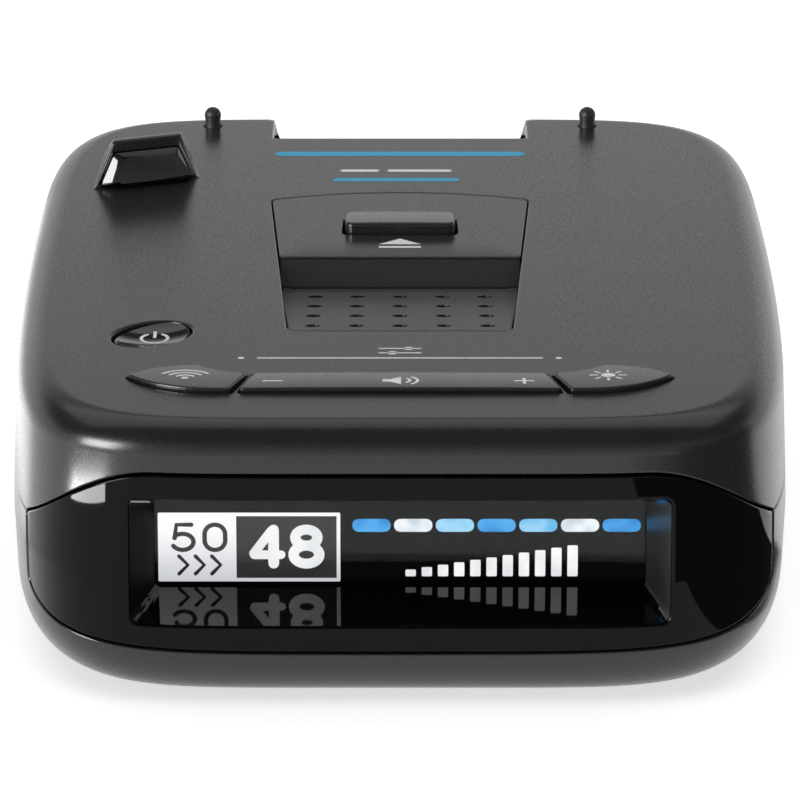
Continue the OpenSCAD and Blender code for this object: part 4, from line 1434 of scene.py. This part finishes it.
# ---------- Printed marks ----------

def stroke(points, width, closed=False):
    """Outline of a line drawn with a round-ended pen."""
    points = np.asarray(points, float)
    if closed:
        return [offset_loop(ccw(points), -width / 2), offset_loop(ccw(points), width / 2)]
    before = np.vstack([points[0] * 2 - points[1], points[:-1]])
    after = np.vstack([points[1:], points[-1] * 2 - points[-2]])
    run = after - before
    run /= np.linalg.norm(run, axis=1)[:, None]
    side = np.column_stack([-run[:, 1], run[:, 0]]) * width / 2
    left, right = points + side, points - side
    tip, tail = run[-1] * width / 2, run[0] * width / 2
    ahead = [points[-1] + side[-1] * math.cos(t) + tip * math.sin(t)
             for t in np.linspace(0, math.pi, 7)[1:-1]]
    behind = [points[0] - side[0] * math.cos(t) - tail * math.sin(t)
              for t in np.linspace(0, math.pi, 7)[1:-1]]
    return [ccw(np.concatenate([left, ahead, right[::-1], behind]))]


def arc(centre, radius, start, end, count=16, squash=1.0):
    """Points along an arc, in degrees."""
    turn = np.radians(np.linspace(start, end, count))
    return np.column_stack([centre[0] + radius * np.cos(turn),
                            centre[1] + radius * squash * np.sin(turn)])


def make_marks():
    """Light printed icons and lines in place of the real product's words."""
    coat = 0.02
    lift = coat * 0.8
    cover = flat_map(COVER_TOP + lift)

    def mark(name, loops_list, place, slot="key_plastic", body="housing", paint=GREY_INK):
        make_plate(name, loops_list, place, coat, slot, body, paint)

    lines = [stroke([(-13.1, -34.7), (13.1, -34.7)], 0.32)]
    lines += [[circle((x, -34.7), 0.3, 16)] for x in (-14.7, 14.7)]
    slider = [stroke([(-1.9, y), (1.9, y)], 0.26) for y in (-33.1, -31.7)]
    knobs = [[circle((x, y), 0.5, 16)] for x, y in ((-0.7, -33.1), (0.8, -31.7))]
    mark("cover_marks", lines + slider + knobs, cover)
    eject = [[ccw(np.array([(-2.1, 3.6), (2.1, 3.6), (0.0, 5.6)]))],
             [rectangle((-2.1, 2.3), (2.1, 2.9))]]
    mark("release_mark", eject, cover)
    stripe = [stroke([(-12.4, 38.4), (12.4, 38.4)], 1.7), stroke([(-6.4, 28.0), (5.6, 28.0)], 1.2)]
    mark("accent_stripes", stripe, cover, "case_plastic", paint=BLUE_INK)
    light = [stroke([(-5.8, 31.6), (-2.6, 31.6)], 0.9), stroke([(-0.9, 31.6), (5.0, 31.6)], 0.9)]
    mark("accent_marks", light, cover, "case_plastic")

    # Crowned keys: the ink follows the cap
    def on_cap(loop, form):
        return cap_surface(loop, KEY_TOP + lift, *form)

    rocker = on_cap(rocker_outline(), ROCKER_FORM)
    minus = [stroke([(-12.4, -43.1), (-10.8, -43.1)], 0.3)]
    plus = [stroke([(10.5, -43.1), (12.1, -43.1)], 0.3),
            stroke([(11.3, -42.3), (11.3, -42.95)], 0.3),
            stroke([(11.3, -43.25), (11.3, -43.9)], 0.3)]
    speaker = [[ccw(np.array([(-1.6, -43.5), (-1.6, -42.7), (-0.9, -42.7), (0.1, -41.9),
                              (0.1, -44.3), (-0.9, -43.5)]))]]
    waves = [stroke(arc((0.1, -43.1), r, -48, 48, 10), 0.28) for r in (0.8, 1.5)]
    mark("volume_marks", minus + plus + speaker + waves, rocker, body="rocker")
    leaf = leaf_outline()
    sun_at = (19.0, -41.4)
    rays = [stroke([(sun_at[0] + 1.05 * math.cos(t), sun_at[1] + 1.05 * math.sin(t)),
                    (sun_at[0] + 1.6 * math.cos(t), sun_at[1] + 1.6 * math.sin(t))], 0.26)
            for t in np.arange(8) * math.pi / 4]
    mark("brightness_mark", rays + [[circle(sun_at, 0.65, 20)]], on_cap(leaf, LEAF_FORM),
         body="right_key")
    waves = [stroke(arc((-19.6, -42.3), r, 35, 145, 12), 0.3) for r in (0.9, 1.7, 2.5)]
    mark("sensitivity_mark", waves + [[circle((-19.6, -42.3), 0.35, 14)]],
         on_cap(mirrored(leaf), LEAF_FORM), body="left_key")

    def on_dish(plan, depth):
        return np.column_stack([plan, dish_height(plan) + lift - depth])

    x, y = POWER_AT[0] + 0.2, POWER_AT[1] + 0.7
    ring = [stroke(arc((x, y), 1.25, 125, 415, 26), 0.32),
            stroke([(x, y + 0.4), (x, y + 1.6)], 0.32)]
    mark("power_mark", ring, on_dish, "key_gloss", "power_key")


# ---------- Display picture ----------

def numeral(which, x, z, width, height, pen):
    """Outline loops of a numeral, drawn with a pen inside a box from its low corner."""
    w, h = width - pen, height - pen
    x, z = x + pen / 2, z + pen / 2
    if which == "0":
        ring = round_corners([(x, z), (x + w, z), (x + w, z + h), (x, z + h)], w * 0.5, 10)
        return [stroke(ring, pen, closed=True)]
    if which == "5":
        bowl = arc((x + w * 0.46, z + h * 0.32), w * 0.54, 118, -150, 24, h * 0.32 / (w * 0.54))
        flag = [(x + w * 0.9, z + h), (x + w * 0.16, z + h), (x + w * 0.06, z + h * 0.47)]
        return [stroke(flag, pen), stroke(bowl, pen)]
    if which == "4":
        return [stroke([(x + w * 0.74, z), (x + w * 0.74, z + h)], pen),
                stroke([(x + w * 0.66, z + h * 0.97), (x + w * 0.02, z + h * 0.3)], pen * 0.86),
                stroke([(x + w * 0.04, z + h * 0.26), (x + w, z + h * 0.26)], pen * 0.86)]
    upper, lower = h * 0.235, h * 0.265
    return [stroke(arc((x + w / 2, z + lower), w * 0.5, 0, 348, 30, lower / (w * 0.5)), pen, True),
            stroke(arc((x + w / 2, z + 2 * lower + upper), w * 0.43, 0, 348, 30,
                       upper / (w * 0.43)), pen, True)]


def make_display():
    """Lit picture behind the pane: two number boxes, a row of pills and a level meter."""
    def layer(front):
        def place(plan, depth):
            return np.column_stack([plan[:, 0], PANEL_FRONT - front + depth, plan[:, 1]])
        return place

    def show(word, loops_list, front, paint):
        make_plate(f"display_{word}", loops_list, layer(front), 0.01, "display_glass",
                   "housing", paint)

    white = lit("lit_white", (0.62, 0.63, 0.66), (1.0, 1.0, 1.0), 1.0, direction=(8.6, 13.5))
    dim = lit("lit_grey", (0.014, 0.014, 0.015), (0.02, 0.02, 0.021), 1.0)
    dark = lit("unlit", (0.012, 0.012, 0.013), (0.016, 0.016, 0.017), 1.0)
    bright = lit("lit_bright", (0.82, 0.83, 0.84), (1.0, 1.0, 1.0), 1.0)
    low_z, high_z, left, split, right = 8.6, 15.25, -22.1, -14.95, -5.45
    border = 0.34
    box = [[rectangle((left, low_z), (right, high_z), 0.12, 3),
            rectangle((split, low_z + border), (right - border, high_z - border))]]
    show("limit_box", box, 0.02, white)
    screen = [[rectangle((split, low_z + border), (right - border, high_z - border))]]
    show("speed_box", screen, 0.02, dim)
    limit = (numeral("5", -20.9, 11.45, 2.25, 2.85, 0.42)
             + numeral("0", -18.05, 11.45, 2.3, 2.85, 0.42))
    chevrons = [stroke([(x, 9.35), (x + 0.8, 10.2), (x, 11.05)], 0.36)
                for x in (-20.2, -18.7, -17.2)]
    show("limit_digits", limit + chevrons, 0.04, dark)
    speed = numeral("4", -13.9, 9.85, 3.5, 4.25, 0.98) + numeral("8", -10.2, 9.85, 3.3, 4.25, 0.95)
    show("speed_digits", speed, 0.04, bright)
    blue = lit("lit_blue", (0.01, 0.24, 0.68), (0.06, 0.42, 0.86), 1.0, 1.6)
    pale = lit("lit_pale_blue", (0.12, 0.5, 0.85), (0.36, 0.7, 0.95), 1.0, 1.6)
    snow = lit("lit_snow", (0.6, 0.7, 0.76), (0.92, 0.95, 0.97), 1.0, 1.6)
    first, pitch, pill_low, pill_high = -4.35, 3.805, 13.4, 14.65
    for paint, word, places in ((blue, "blue", (0, 3, 6)), (snow, "white", (1, 5)),
                                (pale, "pale", (2, 4))):
        pills = [[rectangle((first + pitch * i, pill_low), (first + pitch * i + 3.5, pill_high),
                            0.6, 6)] for i in places]
        show(f"pills_{word}", pills, 0.02, paint)
    bars = [[rectangle((0.5 + 1.48 * i, 9.1), (1.45 + 1.48 * i, 9.75 + 0.235 * i), 0.12, 3)]
            for i in range(11)]
    show("level_bars", bars, 0.02, bright)


# ---------- Studio ----------

def make_camera():
    """Camera at the photo's angle: in front, a little above, far off."""
    data = bpy.data.cameras.new("camera")
    camera = bpy.data.objects.new("camera", data)
    bpy.context.scene.collection.objects.link(camera)
    rise, away = math.radians(17.6), 0.52
    target = np.array([0, 0, 0.012])
    camera.location = target + np.array([0, -math.cos(rise), math.sin(rise)]) * away
    camera.rotation_euler = (math.pi / 2 - rise, 0, 0)
    data.sensor_width = 36
    data.lens = 234.7
    data.shift_y = -0.00625
    data.clip_start, data.clip_end = 0.05, 20
    bpy.context.scene.camera = camera


def area_light(name, place, aim, size, power):
    """Softbox that faces a point."""
    data = bpy.data.lights.new(name, "AREA")
    data.shape = "RECTANGLE"
    data.size, data.size_y = size
    data.energy = power
    light = bpy.data.objects.new(name, data)
    light.location = place
    direction = np.array(aim, float) - np.array(place, float)
    light.rotation_euler = Vector(direction).to_track_quat("-Z", "Y").to_euler()
    bpy.context.scene.collection.objects.link(light)
    return light


def make_surround():
    """Studio surround: white round the horizon, dark above, and grey ahead."""
    world = bpy.data.worlds.new("studio")
    bpy.context.scene.world = world
    world.use_nodes = True
    nodes, links = world.node_tree.nodes, world.node_tree.links
    direction = nodes.new("ShaderNodeTexCoord")
    split = nodes.new("ShaderNodeSeparateXYZ")
    links.new(direction.outputs["Generated"], split.inputs["Vector"])
    behind = nodes.new("ShaderNodeMapRange")
    behind.inputs["From Min"].default_value = -0.5
    behind.inputs["From Max"].default_value = 0.0
    links.new(split.outputs["Y"], behind.inputs["Value"])
    mix = nodes.new("ShaderNodeMix")
    mix.data_type = "RGBA"
    links.new(behind.outputs["Result"], mix.inputs["Factor"])
    colours = [socket for socket in mix.inputs if socket.type == "RGBA"]
    skies = [[(0.1, 0.62), (0.75, 0.02)], [(0.2, 0.85), (0.44, 0.03)]]
    for socket, stops in zip(colours, skies):
        height = nodes.new("ShaderNodeValToRGB")
        height.color_ramp.interpolation = "EASE"
        for element, (place, level) in zip(height.color_ramp.elements, stops):
            element.position = place
            element.color = (level, level, level, 1)
        links.new(split.outputs["Z"], height.inputs["Fac"])
        links.new(height.outputs["Color"], socket)
    mixed = next(socket for socket in mix.outputs if socket.type == "RGBA")
    links.new(mixed, nodes["Background"].inputs["Color"])


def make_flag():
    """Black card to the right, out of the picture, that darkens the right corner's reflection."""
    near, far = -0.16, -0.015
    section = [(0.042, 0.0004), (0.09, 0.0004), (0.1, 0.01), (0.1, 0.05)]
    mesh = bpy.data.meshes.new("flag")
    points = [(x, y, z) for x, z in section for y in (near, far)]
    mesh.from_pydata(points, [], [(2 * i, 2 * i + 1, 2 * i + 3, 2 * i + 2) for i in range(3)])
    flag = bpy.data.objects.new("flag", mesh)
    bpy.context.scene.collection.objects.link(flag)
    mesh.materials.append(film("flag_paper", (0.004, 0.004, 0.004), 0.9))
    flag.visible_camera = False
    flag.visible_diffuse = False
    flag.visible_shadow = False


def make_studio():
    """Pale floor, softboxes and a dim surround."""
    mesh = bpy.data.meshes.new("floor")
    half = 3.0
    mesh.from_pydata([(-half, -half, 0), (half, -half, 0), (half, half, 0), (-half, half, 0)], [],
                     [(0, 1, 2, 3)])
    floor = bpy.data.objects.new("floor", mesh)
    bpy.context.scene.collection.objects.link(floor)
    paint = Paint("floor_paint", roughness=0.9, specular=0.1)
    dark, light = shades((0.8, 0.8, 0.8), 0.01)
    cloud = paint.ramp(paint.noise(60, 2), [(0.3, dark), (0.7, light)])
    paint.link(cloud, "Base Color")
    paint.link(cloud, "Emission Color")
    paint.shader.inputs["Emission Strength"].default_value = 0.8
    mesh.materials.append(paint.material)
    make_surround()
    top = area_light("top_light", (0, 0.1, 1.6), (0, 0, 0), (2.4, 2.4), 26)
    top.visible_glossy = False
    lights = [
        area_light("corner_glint", (-0.0414, -0.0597, 0.01615), (-0.0287, -0.0538, 0.0201),
                   (0.013, 0.0021), 0.0036),
        area_light("corner_light", (-0.098, -0.066, 0.018), (-0.033, -0.05, 0.02),
                   (0.03, 0.016), 0.0012),
        area_light("left_light", (-0.543, -0.407, 0.222), (-0.028, 0.025, 0.029),
                   (0.36, 0.26), 6.2),
        area_light("ceiling_light", (0, 0.74, 1.0), (0, 0.74, 0), (1.6, 1.36), 5.2),
        area_light("side_light", (-0.05, 0.025, 0.01), (0, 0.02, 0.01), (0.08, 0.02), 0.007)]
    for light in lights:
        light.visible_diffuse = False
    make_flag()
    bpy.context.scene.view_settings.view_transform = "Standard"


make_top_cover()
make_bottom_case()
make_front_bezel()
make_release_panel()
make_keys()
make_rear_lens()
make_pegs()
make_screws()
make_end_panels()
make_lens()
make_label()
make_marks()
make_display()
make_camera()
make_studio()
